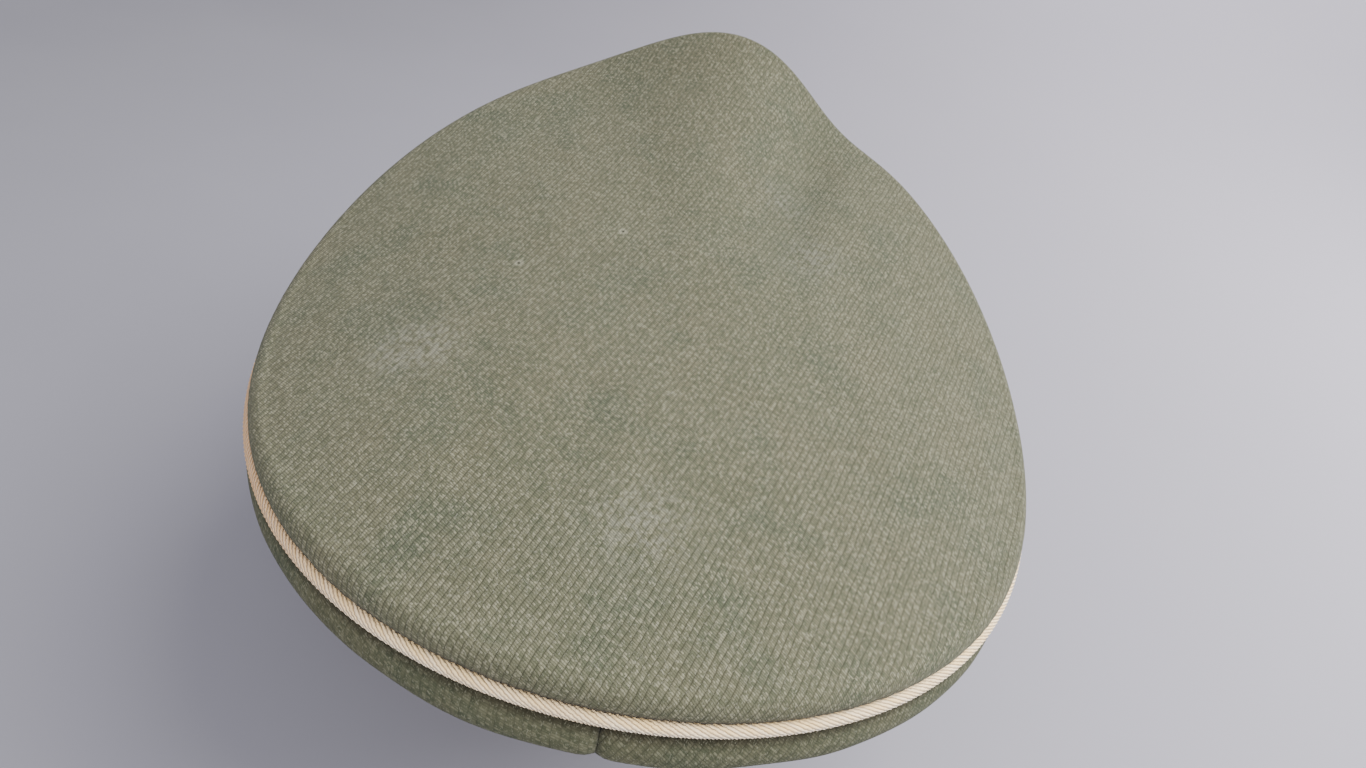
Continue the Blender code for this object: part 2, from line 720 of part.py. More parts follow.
def make_badge(metal, steel, group, cutters, panels, interlining):
    """A plain round boss on the front of the crown, held by two folded pins."""
    centre = side_point(math.pi, BADGE_PLACE)
    inward = (side_inner(math.pi, BADGE_PLACE, MM) - centre).normalized()
    turn = Vector((0, 0, 1)).rotation_difference(-inward).to_matrix().to_4x4()
    stand_off = 2.5 * GAP
    profile = [(0, BADGE_HEIGHT), (0.35 * BADGE_RADIUS, 0.95 * BADGE_HEIGHT),
               (0.55 * BADGE_RADIUS, 0.62 * BADGE_HEIGHT), (0.8 * BADGE_RADIUS, 0.62 * BADGE_HEIGHT),
               (BADGE_RADIUS, 0.3 * BADGE_HEIGHT), (BADGE_RADIUS, 0), (0, 0)]
    badge = turned("cap_badge", profile, 32, metal, group)
    badge.matrix_world = Matrix.Translation(centre - inward * stand_off) @ turn

    depth = CLOTH + INTERLINING_WALL + 5 * GAP
    length = stand_off - GAP + depth
    top = centre - inward * (stand_off - GAP)
    for side, sign in (("left", 1), ("right", -1)):
        across = Vector((BADGE_PIN_SPREAD / 2 * sign, 0, 0))
        middle = Matrix.Translation(top + inward * length / 2 + across) @ turn
        pin = add_object("badge_pin_" + side, cylinder(BADGE_PIN_RADIUS, length, 12), steel, group)
        pin.matrix_world = middle
        legs = add_object("badge_pin_legs", box((PIN_WIDTH * 0.8, PIN_LEG / 2, PIN_WALL)),
                          steel, cutters)
        legs.matrix_world = Matrix.Translation(top + inward * length + across) @ turn
        cut(pin, legs, "UNION")
        hole = add_object("badge_pin_hole", cylinder(BADGE_PIN_RADIUS + SHANK_PLAY, 3 * length, 12),
                          steel, cutters)
        hole.matrix_world = middle
        cut(panels["side_front_" + side], hole)
        cut(interlining, hole)


def main():
    clear_scene()
    cap = new_collection("military_peaked_cap")
    cutters = new_collection("cutters")

    crown_cloth = finish("crown_cloth", (0.27, 0.26, 0.20), 0.95)
    band_cloth = finish("band_cloth", (0.035, 0.06, 0.045), 0.95)
    piping_cord = finish("piping_cord", (0.80, 0.70, 0.50), 0.85)
    patent = finish("visor_lacquer", (0.01, 0.01, 0.01), 0.2)
    strap_leather = finish("strap_leather", (0.015, 0.013, 0.012), 0.4)
    sweat_leather = finish("sweat_leather", (0.32, 0.17, 0.08), 0.6)
    satin = finish("lining_satin", (0.42, 0.30, 0.13), 0.35)
    metal = finish("button_metal", (0.55, 0.55, 0.52), 0.4, 1.0)
    steel = finish("spring_steel", (0.4, 0.4, 0.42), 0.35, 1.0)
    fibre = finish("fibre_board", (0.25, 0.15, 0.08), 0.8)
    canvas = finish("canvas", (0.55, 0.48, 0.36), 0.9)
    felt = finish("felt", (0.32, 0.31, 0.28), 0.95)
    celluloid = finish("celluloid", (0.75, 0.66, 0.42), 0.15)
    ribbon = finish("ribbon", (0.10, 0.07, 0.04), 0.5)

    make_crown_top(crown_cloth, cap)
    panels = make_side_panels(crown_cloth, cap)
    make_crown_piping(piping_cord, cap)
    make_crown_frame(steel, felt, cap)
    interlining = make_front_support(steel, canvas, cap)
    make_linings(satin, celluloid, cap)
    cover, stiffener = make_band(band_cloth, fibre, sweat_leather, piping_cord, cap)
    make_bow(ribbon, cap, cutters)
    make_visor(patent, sweat_leather, strap_leather, cap)
    outer = make_strap("strap_outer", True, strap_leather, cap)
    inner = make_strap("strap_inner", False, strap_leather, cap)
    make_slide("slide_left", 1, metal, cap, cutters)
    make_slide("slide_right", -1, metal, cap, cutters)
    for side, sign, strap in (("left", 1, outer), ("right", -1, inner)):
        make_button(side, sign, metal, strap_leather, steel, cap, cutters, (cover, stiffener, strap))
    make_badge(metal, steel, cap, cutters, panels, interlining)


main()
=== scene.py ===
"""Looks for a military peaked cap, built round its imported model.

Frame: metres, +Z up, the visor at -Y, the wearer's left at +X. The origin is the middle of the head
opening, level with the lower rim of the band. Angles round the cap start at the back (+Y), so an
angle of pi is the middle of the front.
"""
import math

import bmesh
import bpy
from mathutils import Matrix, Vector, noise


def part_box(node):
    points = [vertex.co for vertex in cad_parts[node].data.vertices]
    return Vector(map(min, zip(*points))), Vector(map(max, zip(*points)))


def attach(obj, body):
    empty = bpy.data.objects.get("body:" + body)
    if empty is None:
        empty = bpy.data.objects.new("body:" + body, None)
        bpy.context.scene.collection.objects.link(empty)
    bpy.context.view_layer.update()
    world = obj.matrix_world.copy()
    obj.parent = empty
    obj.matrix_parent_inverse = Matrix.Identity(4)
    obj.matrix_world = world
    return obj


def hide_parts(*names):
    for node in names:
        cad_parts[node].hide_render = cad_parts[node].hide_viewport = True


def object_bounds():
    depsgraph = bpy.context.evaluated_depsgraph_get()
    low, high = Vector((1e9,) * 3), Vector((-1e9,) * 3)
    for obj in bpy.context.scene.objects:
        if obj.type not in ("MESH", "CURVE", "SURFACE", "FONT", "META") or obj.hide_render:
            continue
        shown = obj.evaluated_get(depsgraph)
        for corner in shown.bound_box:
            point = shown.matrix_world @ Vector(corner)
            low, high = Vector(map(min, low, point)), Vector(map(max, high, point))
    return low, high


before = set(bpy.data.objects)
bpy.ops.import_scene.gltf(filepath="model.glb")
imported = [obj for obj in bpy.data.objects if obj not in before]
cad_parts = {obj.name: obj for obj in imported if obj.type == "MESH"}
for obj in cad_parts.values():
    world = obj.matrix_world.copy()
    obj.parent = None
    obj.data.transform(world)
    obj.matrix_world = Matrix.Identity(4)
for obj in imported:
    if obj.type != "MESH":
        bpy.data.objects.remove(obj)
CAD_BOX = [list(corner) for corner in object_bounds()]

MM = 0.001
GAP = 0.3 * MM

# Head opening and band, as in the part
HEAD_LENGTH = 198 * MM
HEAD_WIDTH = 166 * MM
BAND_HEIGHT = 44 * MM
SWEATBAND_WALL = 1.2 * MM
SWEATBAND_ROOM = 1.4 * MM
SWEATBAND_HEIGHT = 40 * MM
STIFFENER_WALL = 1.6 * MM
COVER_WALL = 1.6 * MM
BAND_PIPING_RADIUS = 1.25 * MM
BAND_PIPING_INSET = 2 * MM        # from the band's rims to its piping
COVER_OFFSET = SWEATBAND_WALL + SWEATBAND_ROOM + STIFFENER_WALL + GAP
BAND_OFFSET = COVER_OFFSET + COVER_WALL

# Crown, as in the part
CROWN_LENGTH = 284.2 * MM
CROWN_WIDTH = 261.7 * MM
CROWN_FORWARD = 9 * MM
CROWN_HEIGHT = 76 * MM
CROWN_EGG = 0.033
CROWN_WARP = 0.0715
CROWN_TILT = 21.6 * MM
CROWN_SADDLE = 14.2 * MM
PEAK_RISE = 19.2 * MM
PEAK_TURN = math.radians(1.8)
PEAK_SHARPNESS = 39
PEAK_REACH = 2.2
NOTCH_DROP = 6 * MM
NOTCH_ANGLE = math.radians(201.6)
NOTCH_SPREAD = math.radians(10.6)
CROWN_DOME = 10.8 * MM
REAR_FULLNESS = 4 * MM
ROLL_RADIUS = 5.5 * MM
CROWN_PIPING_RADIUS = 1.9 * MM
CLOTH = 1.5 * MM
PIPING_OUT = 0.95
PIPING_DOWN = 0.90
SIDE_BULGE = 8 * MM
REAR_SLACK = 10 * MM
SIDE_DROP = 16 * MM
PEAK_LEAN = 0.2
LINING_WALL = 0.6 * MM
LINING_DROP = 6.5 * MM
LINING_EDGE = 0.8

# Cloth
RIB_PITCH = 1.983 * MM
RIB_ANGLE = math.radians(159.5)   # square to the ribs of the top panel, from +X
FLOAT_PITCH = 0.68 * MM           # from one slanted yarn to the next along a rib
CLOTH_DYE = (0.345, 0.356, 0.335, 1)  # deepens the yarns' colours together
SIDE_DYE_AND_SHADE = (0.235, 0.25, 0.226, 1)     # the side panels' dye, darker than the top's as painted shade under the roll
WAVE_LENGTH = 45 * MM             # rises and hollows of worn cloth
WAVE_HEIGHT = 0.9 * MM
PUCKERS = 150                     # small gathers round the edge, at the piping seam
PUCKER_HEIGHT = 0.12 * MM
SEAM_DIP = 1.1 * MM               # the side panels turn in at their seams
SEAM_WIDTH = 1.6 * MM


# ---- Shapes shared with the part --------------------------------------------------------------

def spread(low, high, count):
    return [low + (high - low) * i / (count - 1) for i in range(count)]


def ring(count):
    return [math.tau * i / count for i in range(count)]


def band_normal(angle):
    return Vector((math.sin(angle) / HEAD_WIDTH, math.cos(angle) / HEAD_LENGTH, 0)).normalized()


def band_point(angle, offset, z):
    """A point outside the head opening by an offset square to its oval."""
    place = Vector((HEAD_WIDTH / 2 * math.sin(angle), HEAD_LENGTH / 2 * math.cos(angle), z))
    return place + band_normal(angle) * offset


def crown_point(reach, angle):
    """A point of the crown's form; reach is 0 in its middle and 1 on the edge roll's centre line."""
    turn = angle + CROWN_WARP * math.sin(2 * angle)
    x = CROWN_WIDTH / 2 * math.sin(turn) * (1 + CROWN_EGG * math.cos(turn)) * reach
    y = CROWN_LENGTH / 2 * math.cos(turn) * reach - CROWN_FORWARD
    lobe = ((1 - math.cos(angle - PEAK_TURN)) / 2) ** PEAK_SHARPNESS
    notch = math.exp(-((angle % math.tau - NOTCH_ANGLE) / NOTCH_SPREAD) ** 2)
    inner = 1 - reach ** 2
    z = CROWN_HEIGHT - CROWN_TILT * reach * math.cos(angle)
    z += CROWN_SADDLE * reach ** 2 * math.cos(2 * angle)
    z += (PEAK_RISE * lobe - NOTCH_DROP * notch) * reach ** PEAK_REACH
    z += CROWN_DOME * inner + REAR_FULLNESS * reach * inner * math.cos(angle)
    return Vector((x, y, z))


def rim_along(angle):
    step = 0.01
    return (crown_point(1, angle + step) - crown_point(1, angle - step)).normalized()


def rim_normal(angle):
    along = rim_along(angle)
    return Vector((-along.y, along.x, 0)).normalized()


def rim_up(angle):
    return rim_along(angle).cross(rim_normal(angle))


def roll_point(angle, radius, lift):
    place = crown_point(1, angle) + rim_normal(angle) * radius * math.cos(lift)
    return place + rim_up(angle) * radius * math.sin(lift)


def top_point(reach, angle):
    up = Vector((0, 0, 1)).lerp(rim_up(angle), reach ** 4).normalized()
    return crown_point(reach, angle) + up * ROLL_RADIUS


def piping_point(angle):
    place = crown_point(1, angle) + rim_normal(angle) * ROLL_RADIUS * PIPING_OUT
    return place - rim_up(angle) * ROLL_RADIUS * PIPING_DOWN


def side_point(angle, down):
    """The side panels' outer surface; down is 0 under the piping and 1 at the band."""
    normal = rim_normal(angle)
    rear = max(0.0, math.cos(angle)) ** 2
    front = max(0.0, -math.cos(angle)) ** 2
    top = piping_point(angle) - normal * 0.2 * CROWN_PIPING_RADIUS
    top.z -= (CROWN_PIPING_RADIUS + 1.5 * GAP) / rim_up(angle).z
    foot = band_point(angle, BAND_OFFSET - COVER_WALL / 2, BAND_HEIGHT + GAP)
    fall = top.z - foot.z
    reach = (top.xy - foot.xy).length
    bulge = SIDE_BULGE * (1 - front) + REAR_SLACK * rear - PEAK_LEAN * reach * front
    upper = top + normal * bulge - Vector((0, 0, max(0.35 * fall, SIDE_DROP)))
    lower = foot + normal * reach * (0.5 - PEAK_LEAN * front) + Vector((0, 0, 0.3 * fall * front + GAP))
    near = 1 - down
    return (top * near ** 3 + upper * 3 * near ** 2 * down
            + lower * 3 * near * down ** 2 + foot * down ** 3)


def side_inner(angle, down, depth):
    """A point a given depth inside the side panels' outer surface."""
    step = 0.01
    across = side_point(angle + step, down) - side_point(angle - step, down)
    fall = side_point(angle, down + step) - side_point(angle, down - step)
    return side_point(angle, down) + fall.cross(across).normalized() * depth


def lining_point(reach, angle):
    return crown_point(reach, angle) + Vector((0, 0, ROLL_RADIUS - CLOTH - LINING_DROP))


# ---- Node trees -------------------------------------------------------------------------------

class Tree:
    """Adds nodes to a shader or geometry tree, with their inputs given by name or place."""

    def __init__(self, tree):
        self.tree = tree

    def add(self, kind, inputs=(), **settings):
        node = self.tree.nodes.new(kind)
        for key, value in settings.items():
            setattr(node, key, value)
        for key, value in dict(inputs).items():
            self.feed(node.inputs[key], value)
        return node

    def feed(self, socket, value):
        if isinstance(value, bpy.types.Node):
            value = value.outputs[0]
        if isinstance(value, bpy.types.NodeSocket):
            self.tree.links.new(value, socket)
        else:
            socket.default_value = value

    def math(self, operation, *values):
        return self.add("ShaderNodeMath", enumerate(values), operation=operation).outputs[0]

    def times(self, first, second):
        return self.math("MULTIPLY", first, second)

    def scaled(self, value, by, plus):
        return self.math("MULTIPLY_ADD", value, by, plus)

    def vector(self, operation, *values):
        node = self.add("ShaderNodeVectorMath", enumerate(values), operation=operation)
        return node.outputs["Value" if operation in ("DISTANCE", "LENGTH") else "Vector"]

    def join(self, x, y, z=0.0):
        return self.add("ShaderNodeCombineXYZ", {"X": x, "Y": y, "Z": z}).outputs[0]

    def split(self, vector):
        return self.add("ShaderNodeSeparateXYZ", {0: vector}).outputs

    def mix(self, factor, first, second, blend="MIX"):
        node = self.add("ShaderNodeMix", {0: factor, 6: first, 7: second}, data_type="RGBA",
                        blend_type=blend)
        return node.outputs[2]

    def noise(self, vector, scale, detail=2.0, roughness=0.5):
        inputs = {"Vector": vector, "Scale": scale, "Detail": detail, "Roughness": roughness}
        return self.add("ShaderNodeTexNoise", inputs).outputs[0]

    def stain(self, color, mask, share, other):
        """Brings in another colour by a share of a mask."""
        return self.mix(self.times(mask, share), color, other)

    def smooth(self, value, low, high):
        """Rises smoothly from 0 at low to 1 at high."""
        inputs = {"Value": value, "From Min": low, "From Max": high}
        return self.add("ShaderNodeMapRange", inputs, interpolation_type="SMOOTHSTEP").outputs[0]

    def use(self, group, **inputs):
        """Places a shader group; an underscore in an input's name stands for a space."""
        node = self.add("ShaderNodeGroup", node_tree=group)
        for key, value in inputs.items():
            self.feed(node.inputs[key.replace("_", " ").title()], value)
        return node.outputs


def new_tree(name, kind, inputs, outputs):
    """A node group with named sockets; gives its helper, its inputs and its output node."""
    tree = bpy.data.node_groups.new(name, kind)
    for label, (socket_type, value) in inputs.items():
        socket = tree.interface.new_socket(label, in_out="INPUT", socket_type=socket_type)
        if value is not None:
            socket.default_value = value
    for label, socket_type in outputs.items():
        tree.interface.new_socket(label, in_out="OUTPUT", socket_type=socket_type)
    helper = Tree(tree)
    return helper, helper.add("NodeGroupInput").outputs, helper.add("NodeGroupOutput")


def number(value):
    return "NodeSocketFloat", value


PLACE = ("NodeSocketVector", None)


def shade_group(name, inputs, outputs):
    return new_tree(name, "ShaderNodeTree", inputs, {label: "NodeSocketFloat" for label in outputs})


def make_weave_group():
    """Ribs with a deep groove between them and a shallow one along each, crossed by slanted yarns."""
    t, given, result = shade_group(
        "ribbed_weave",
        {"Flat": PLACE, "Rib Angle": number(0), "Rib Pitch": number(RIB_PITCH),
         "Float Pitch": number(FLOAT_PITCH), "Wobble": number(0.25)},
        ("Height", "Groove", "Yarn", "Fleck"))
    turned = t.add("ShaderNodeVectorRotate", {"Vector": given["Flat"], "Angle": given["Rib Angle"]},
                   rotation_type="Z_AXIS", invert=True)
    x, y = t.split(turned)[:2]
    drift = t.math("SUBTRACT", t.noise(given["Flat"], 70, 3), 0.5)
    across = t.scaled(drift, t.times(given["Wobble"], 3.0), t.math("DIVIDE", x, given["Rib Pitch"]))
    deep = t.math("ABSOLUTE", t.math("SINE", t.times(across, math.pi)))
    shallow = t.math("ABSOLUTE", t.math("COSINE", t.times(across, math.pi)))
    ridge = t.times(t.math("POWER", deep, 0.5), t.scaled(t.math("POWER", shallow, 0.6), 0.3, 0.7))
    step = t.math("DIVIDE", y, given["Float Pitch"])
    slant = t.scaled(across, 0.85, t.scaled(drift, 1.5, step))
    bead = t.math("ABSOLUTE", t.math("SINE", t.times(slant, math.pi)))
    bead = t.math("POWER", bead, 0.6)
    cell = t.join(t.math("FLOOR", t.times(across, 2)), t.math("FLOOR", slant))
    yarn = t.add("ShaderNodeTexWhiteNoise", {"Vector": cell}, noise_dimensions="3D").outputs["Value"]
    own = t.scaled(yarn, 0.3, 0.7)
    height = t.times(ridge, t.scaled(bead, 0.3, 0.7))
    t.feed(result.inputs["Height"], t.times(height, own))
    t.feed(result.inputs["Groove"], t.smooth(t.times(ridge, bead), 0.75, 0.15))
    t.feed(result.inputs["Yarn"], yarn)
    bright = t.times(t.smooth(yarn, 0.7, 0.95), t.times(ridge, bead))
    t.feed(result.inputs["Fleck"], bright)
    return t.tree


def make_fibre_group():
    """Loose hairs lying about on a cloth: a mask of short bright streaks in two directions."""
    t, given, result = shade_group("loose_fibres", {"Flat": PLACE, "Amount": number(0.5)}, ("Fibre",))
    masks = []
    for turn in (0.5, 2.3):
        inputs = {"Vector": given["Flat"], "Angle": turn}
        turned = t.add("ShaderNodeVectorRotate", inputs, rotation_type="Z_AXIS")
        thin = t.vector("MULTIPLY", turned, (3800.0, 700.0, 1500.0))
        masks.append(t.noise(thin, 1.0, 1))
    edge = t.scaled(given["Amount"], -0.18, 0.74)
    top = t.math("MAXIMUM", *masks)
    t.feed(result.inputs["Fibre"], t.smooth(top, edge, t.math("ADD", edge, 0.08)))
    return t.tree


def make_patch_group():
    """Soft patches of another shade, with ragged edges."""
    t, given, result = shade_group(
        "patches", {"Place": PLACE, "Size": number(0.03), "Share": number(0.5)}, ("Patch",))
    scale = t.math("DIVIDE", 1.0, given["Size"])
    field = t.noise(given["Place"], scale, 4, 0.6)
    edge = t.scaled(given["Share"], -0.36, 0.68)
    t.feed(result.inputs["Patch"], t.smooth(field, t.math("SUBTRACT", edge, 0.12),
                                            t.math("ADD", edge, 0.12)))
    return t.tree


def make_speck_group():
    """Small scattered specks."""
    t, given, result = shade_group(
        "specks", {"Place": PLACE, "Spacing": number(0.01), "Size": number(0.12)}, ("Speck",))
    scale = t.math("DIVIDE", 1.0, given["Spacing"])
    cells = t.add("ShaderNodeTexVoronoi", {"Vector": given["Place"], "Scale": scale})
    jagged = t.scaled(t.noise(given["Place"], 3000), 0.05, cells.outputs["Distance"])
    chosen = t.math("GREATER_THAN", t.split(cells.outputs["Color"])[0], 0.6)
    spot = t.smooth(jagged, given["Size"], t.times(given["Size"], 0.5))
    t.feed(result.inputs["Speck"], t.times(spot, chosen))
    return t.tree


def make_grain_group():
    """Leather grain: small rounded plates parted by fine creases."""
    t, given, result = shade_group(
        "leather_grain", {"Place": PLACE, "Size": number(0.0009), "Creases": number(0.5)},
        ("Height", "Crease"))
    scale = t.math("DIVIDE", 1.0, given["Size"])
    plates = t.add("ShaderNodeTexVoronoi", {"Vector": given["Place"], "Scale": scale},
                   feature="DISTANCE_TO_EDGE").outputs["Distance"]
    plate = t.smooth(plates, 0.0, 0.22)
    wrinkle = t.math("ABSOLUTE", t.math("SUBTRACT", t.noise(given["Place"], 260, 4, 0.6), 0.5))
    fold = t.times(t.smooth(wrinkle, 0.05, 0.0), given["Creases"])
    t.feed(result.inputs["Height"], t.math("SUBTRACT", plate, fold))
    t.feed(result.inputs["Crease"], t.math("MAXIMUM", t.math("SUBTRACT", 1.0, plate), fold))
    return t.tree


WEAVE = make_weave_group()
FIBRES = make_fibre_group()
PATCHES = make_patch_group()
SPECKS = make_speck_group()
GRAIN = make_grain_group()


def patches(t, place, size, share):
    return t.use(PATCHES, place=place, size=size, share=share)["Patch"]


def specks(t, place, spacing, size):
    return t.use(SPECKS, place=place, spacing=spacing, size=size)["Speck"]


def fibres(t, place, amount):
    return t.use(FIBRES, flat=place, amount=amount)["Fibre"]


def stored(t, name):
    """A number stored on the piece's points."""
    return t.add("ShaderNodeAttribute", attribute_name=name).outputs["Fac"]


def section_of_cord(t):
    """Place on a cord's round section, from -1 to 1 each way."""
    return t.split(t.add("ShaderNodeAttribute", attribute_name="section").outputs["Vector"])


# ---- Finishes ---------------------------------------------------------------------------------

def tint(red, green, blue):
    """A colour given in display values of 0 to 255, as the shader wants it."""
    return (*((value / 255) ** 2.2 for value in (red, green, blue)), 1.0)


def new_finish(name, roughness, **fixed):
    """A Principled material; fixed holds values that are the same all over the surface."""
    material = bpy.data.materials.new(name)
    material.use_nodes = True
    t = Tree(material.node_tree)
    shader = material.node_tree.nodes["Principled BSDF"]
    shader.inputs["Roughness"].default_value = roughness
    for key, value in fixed.items():
        shader.inputs[key.replace("_", " ").title().replace("Ior", "IOR")].default_value = value
    return material, t, shader


def here(t):
    return t.add("ShaderNodeTexCoord").outputs["Object"]


def flat_cloth(t):
    """Place on the cloth as it was cut, in metres."""
    return t.add("ShaderNodeUVMap", uv_map="flat").outputs[0]


def finish_with(t, shader, color, height, depth, strength, roughness=None):
    """Feeds a surface's colour and bump, and its roughness where that varies."""
    t.feed(shader.inputs["Base Color"], color)
    if roughness is not None:
        t.feed(shader.inputs["Roughness"], roughness)
    bump = t.add("ShaderNodeBump", {"Height": height, "Distance": depth, "Strength": strength})
    t.feed(shader.inputs["Normal"], bump.outputs[0])


def ribbed_cloth(name, rib_angle, worn=False, contrast=1.0, dye_and_shade=CLOTH_DYE):
    """Field-grey ribbed wool: green-grey yarns with lighter hairs, faded and stained in patches."""
    material, t, shader = new_finish(name, 0.95, specular_ior_level=0.15, sheen_weight=0.03,
                                     sheen_roughness=0.55, sheen_tint=(0.8, 0.78, 0.85, 1))
    flat, place = flat_cloth(t), here(t)
    weave = t.use(WEAVE, flat=flat, rib_angle=rib_angle)
    color = t.mix(patches(t, place, 0.05, 0.5), tint(148, 146, 121), tint(139, 140, 115))
    color = t.mix(patches(t, t.vector("ADD", place, (0.3, 0, 0)), 0.022, 0.32), color,
                  tint(118, 128, 108))
    color = t.stain(color, patches(t, t.vector("ADD", place, (0, 0.4, 0)), 0.03, 0.3), 0.35,
                    tint(160, 146, 118))
    color = t.mix(0.55, color, t.mix(weave["Yarn"], tint(104, 108, 86), tint(172, 166, 140)))
    color = t.stain(color, weave["Fleck"], 0.6 * contrast, tint(206, 202, 174))
    if worn:
        rubbed = stored(t, "rubbed")
        broken = t.smooth(t.noise(place, 420, 4, 0.65), 0.42, 0.62)
        rubbed = t.times(t.times(rubbed, broken), 0.55)
        color = t.mix(rubbed, color, tint(206, 202, 186))
        # painted shade: the cloth is made darker and greener along the sunken valley by the front peak,
        # where shade falls
        valley_shade = stored(t, "valley")
        color = t.stain(color, valley_shade, 0.22, tint(96, 106, 86))
        for spot in MOTH_NIPS:
            distance = t.vector("DISTANCE", flat, (*spot, 0.0))
            ragged = t.scaled(t.noise(place, 1500), 0.0012, distance)
            color = t.mix(t.smooth(ragged, 0.0028, 0.0016), color, tint(196, 192, 168))
            color = t.mix(t.smooth(ragged, 0.0014, 0.0009), color, tint(56, 54, 42))
    # painted shade: darker in the grooves between and along the ribs
    color = t.stain(color, weave["Groove"], 0.5 * contrast, tint(66, 66, 48))
    # painted shade: the crease mask turns the cloth dark purple-brown in the narrow gap beside the
    # piping, where shade falls
    crease = stored(t, "crease")
    color = t.stain(color, crease, 0.9, tint(52, 22, 24))
    hairs = fibres(t, place, 0.6)
    color = t.stain(color, hairs, 0.5, tint(214, 210, 190))
    # the last multiply is the cloth's dye, and for the side panels also a painted shade
    color = t.mix(1.0, color, dye_and_shade, "MULTIPLY")
    height = t.scaled(hairs, 0.15, weave["Height"])
    finish_with(t, shader, color, height, 0.00045, 0.85 * contrast)
    return material


def piping_finish(name, turns, lines, forward=CROWN_FORWARD):
    """Cream rayon cord: fine threads laid slantwise round it, with painted shade on its lower side
    (darker and yellower) and between its threads, soiled in places, and darker tan on the wearer's left
    from soiling together with painted shade.
    """
    material, t, shader = new_finish(name, 0.5, sheen_weight=0.25, specular_ior_level=0.35)
    place = here(t)
    x, y = t.split(place)[:2]
    round_cap = t.math("ARCTAN2", x, t.math("ADD", y, forward))
    section = section_of_cord(t)
    round_cord = t.math("ARCTAN2", section[1], section[0])
    lay = t.scaled(round_cap, turns / math.tau, t.times(round_cord, lines / math.tau))
    lay = t.scaled(t.noise(place, 900, 2), 0.5, lay)
    thread = t.math("POWER", t.math("ABSOLUTE", t.math("SINE", t.times(lay, math.pi))), 0.7)
    own = t.add("ShaderNodeTexWhiteNoise", {"W": t.math("FLOOR", lay)},
                noise_dimensions="1D").outputs["Value"]
    # painted shade: the lower side of the cord is darker and yellower, the upper side lighter
    color = t.mix(t.smooth(section[1], -0.8, 0.7), tint(250, 216, 152), tint(255, 242, 216))
    color = t.stain(color, own, 0.35, tint(255, 250, 232))
    color = t.stain(color, patches(t, place, 0.03, 0.25), 0.5, tint(240, 212, 160))
    # partly soiling, partly painted shade: the cord turns darker tan towards the wearer's left, the
    # side away from the key light
    soil_and_shade = t.times(t.smooth(x, 0.05, 0.125), 0.85)
    color = t.mix(soil_and_shade, color, tint(206, 160, 112))
    # painted shade: brown in the grooves between the cord's threads
    color = t.stain(color, t.smooth(thread, 0.75, 0.0), 0.75, tint(170, 122, 70))
    color = t.mix(specks(t, place, 0.02, 0.035), color, tint(120, 62, 30))
    finish_with(t, shader, color, thread, 0.0005, 1.0)
    return material


# ---- Making pieces ----------------------------------------------------------------------------

def mesh_piece(name, points, faces, material, flats=None):
    """A smooth mesh; flats holds each face's corners on the cloth as cut, in metres."""
    mesh = bpy.data.meshes.new(name)
    mesh.from_pydata([tuple(p) for p in points], [], faces)
    if flats:
        layer = mesh.uv_layers.new(name="flat")
        corners = [value for face in flats for corner in face for value in corner]
        layer.data.foreach_set("uv", corners)
    mesh.shade_smooth()
    mesh.materials.append(material)
    piece = bpy.data.objects.new(name, mesh)
    bpy.context.scene.collection.objects.link(piece)
    return piece


def woven(name, rows, material, flats=None, closed=False, middle=None):
    """A surface from rows of points, running down or out from the crown's middle.

    flats has the same rows, with one more column where the surface is closed into a ring. A middle
    is (point, flat place) and closes the first row with a fan.
    """
    columns = len(rows[0])
    points = [p for row in rows for p in row]
    faces, corners = [], []
    for row in range(len(rows) - 1):
        for i in range(columns if closed else columns - 1):
            j = (i + 1) % columns
            faces.append((row * columns + i, row * columns + j,
                          (row + 1) * columns + j, (row + 1) * columns + i))
            if flats:
                corners.append((flats[row][i], flats[row][i + 1], flats[row + 1][i + 1],
                                flats[row + 1][i]))
    if middle:
        points.append(middle[0])
        for i in range(columns):
            j = (i + 1) % columns
            faces.append((len(points) - 1, j, i))
            if flats:
                corners.append((middle[1], flats[0][i + 1], flats[0][i]))
    return mesh_piece(name, points, faces, material, corners)


def thicken(piece, wall):
    solid = piece.modifiers.new("Wall", "SOLIDIFY")
    solid.thickness = wall
    solid.offset = -1.0


def store(piece, name, values):
    """Keeps one number for each point of a piece, for its material."""
    attribute = piece.data.attributes.new(name, "FLOAT", "POINT")
    attribute.data.foreach_set("value", values)


def path_piece(name, points, closed):
    """A line of edges for a node tree to follow."""
    mesh = bpy.data.meshes.new(name)
    edges = [(i, i + 1) for i in range(len(points) - 1)]
    if closed:
        edges.append((len(points) - 1, 0))
    mesh.from_pydata([tuple(p) for p in points], edges, [])
    path = bpy.data.objects.new(name, mesh)
    bpy.context.scene.collection.objects.link(path)
    return path


def grown(name, source, tree, values):
    """Runs a node tree on a path or a surface, and keeps the result as a plain mesh."""
    rule = source.modifiers.new("Rule", "NODES")
    rule.node_group = tree
    for item in tree.interface.items_tree:
        if item.in_out == "INPUT" and item.name in values:
            rule[item.identifier] = values[item.name]
    bpy.context.view_layer.update()
    graph = bpy.context.evaluated_depsgraph_get()
    mesh = bpy.data.meshes.new_from_object(source.evaluated_get(graph), depsgraph=graph)
    bpy.data.objects.remove(source)
    mesh.name = name
    piece = bpy.data.objects.new(name, mesh)
    bpy.context.scene.collection.objects.link(piece)
    return piece


def geometry_tree(name, inputs):
    sockets = {"Geometry": ("NodeSocketGeometry", None), **inputs,
               "Finish": ("NodeSocketMaterial", None)}
    return new_tree(name, "GeometryNodeTree", sockets, {"Geometry": "NodeSocketGeometry"})


def close_tree(t, given, result, made):
    real = t.add("GeometryNodeRealizeInstances", {0: made})
    smooth = t.add("GeometryNodeSetShadeSmooth", {0: real})
    t.feed(result.inputs[0], t.add("GeometryNodeSetMaterial", {0: smooth, "Material": given["Finish"]}))
    return t.tree


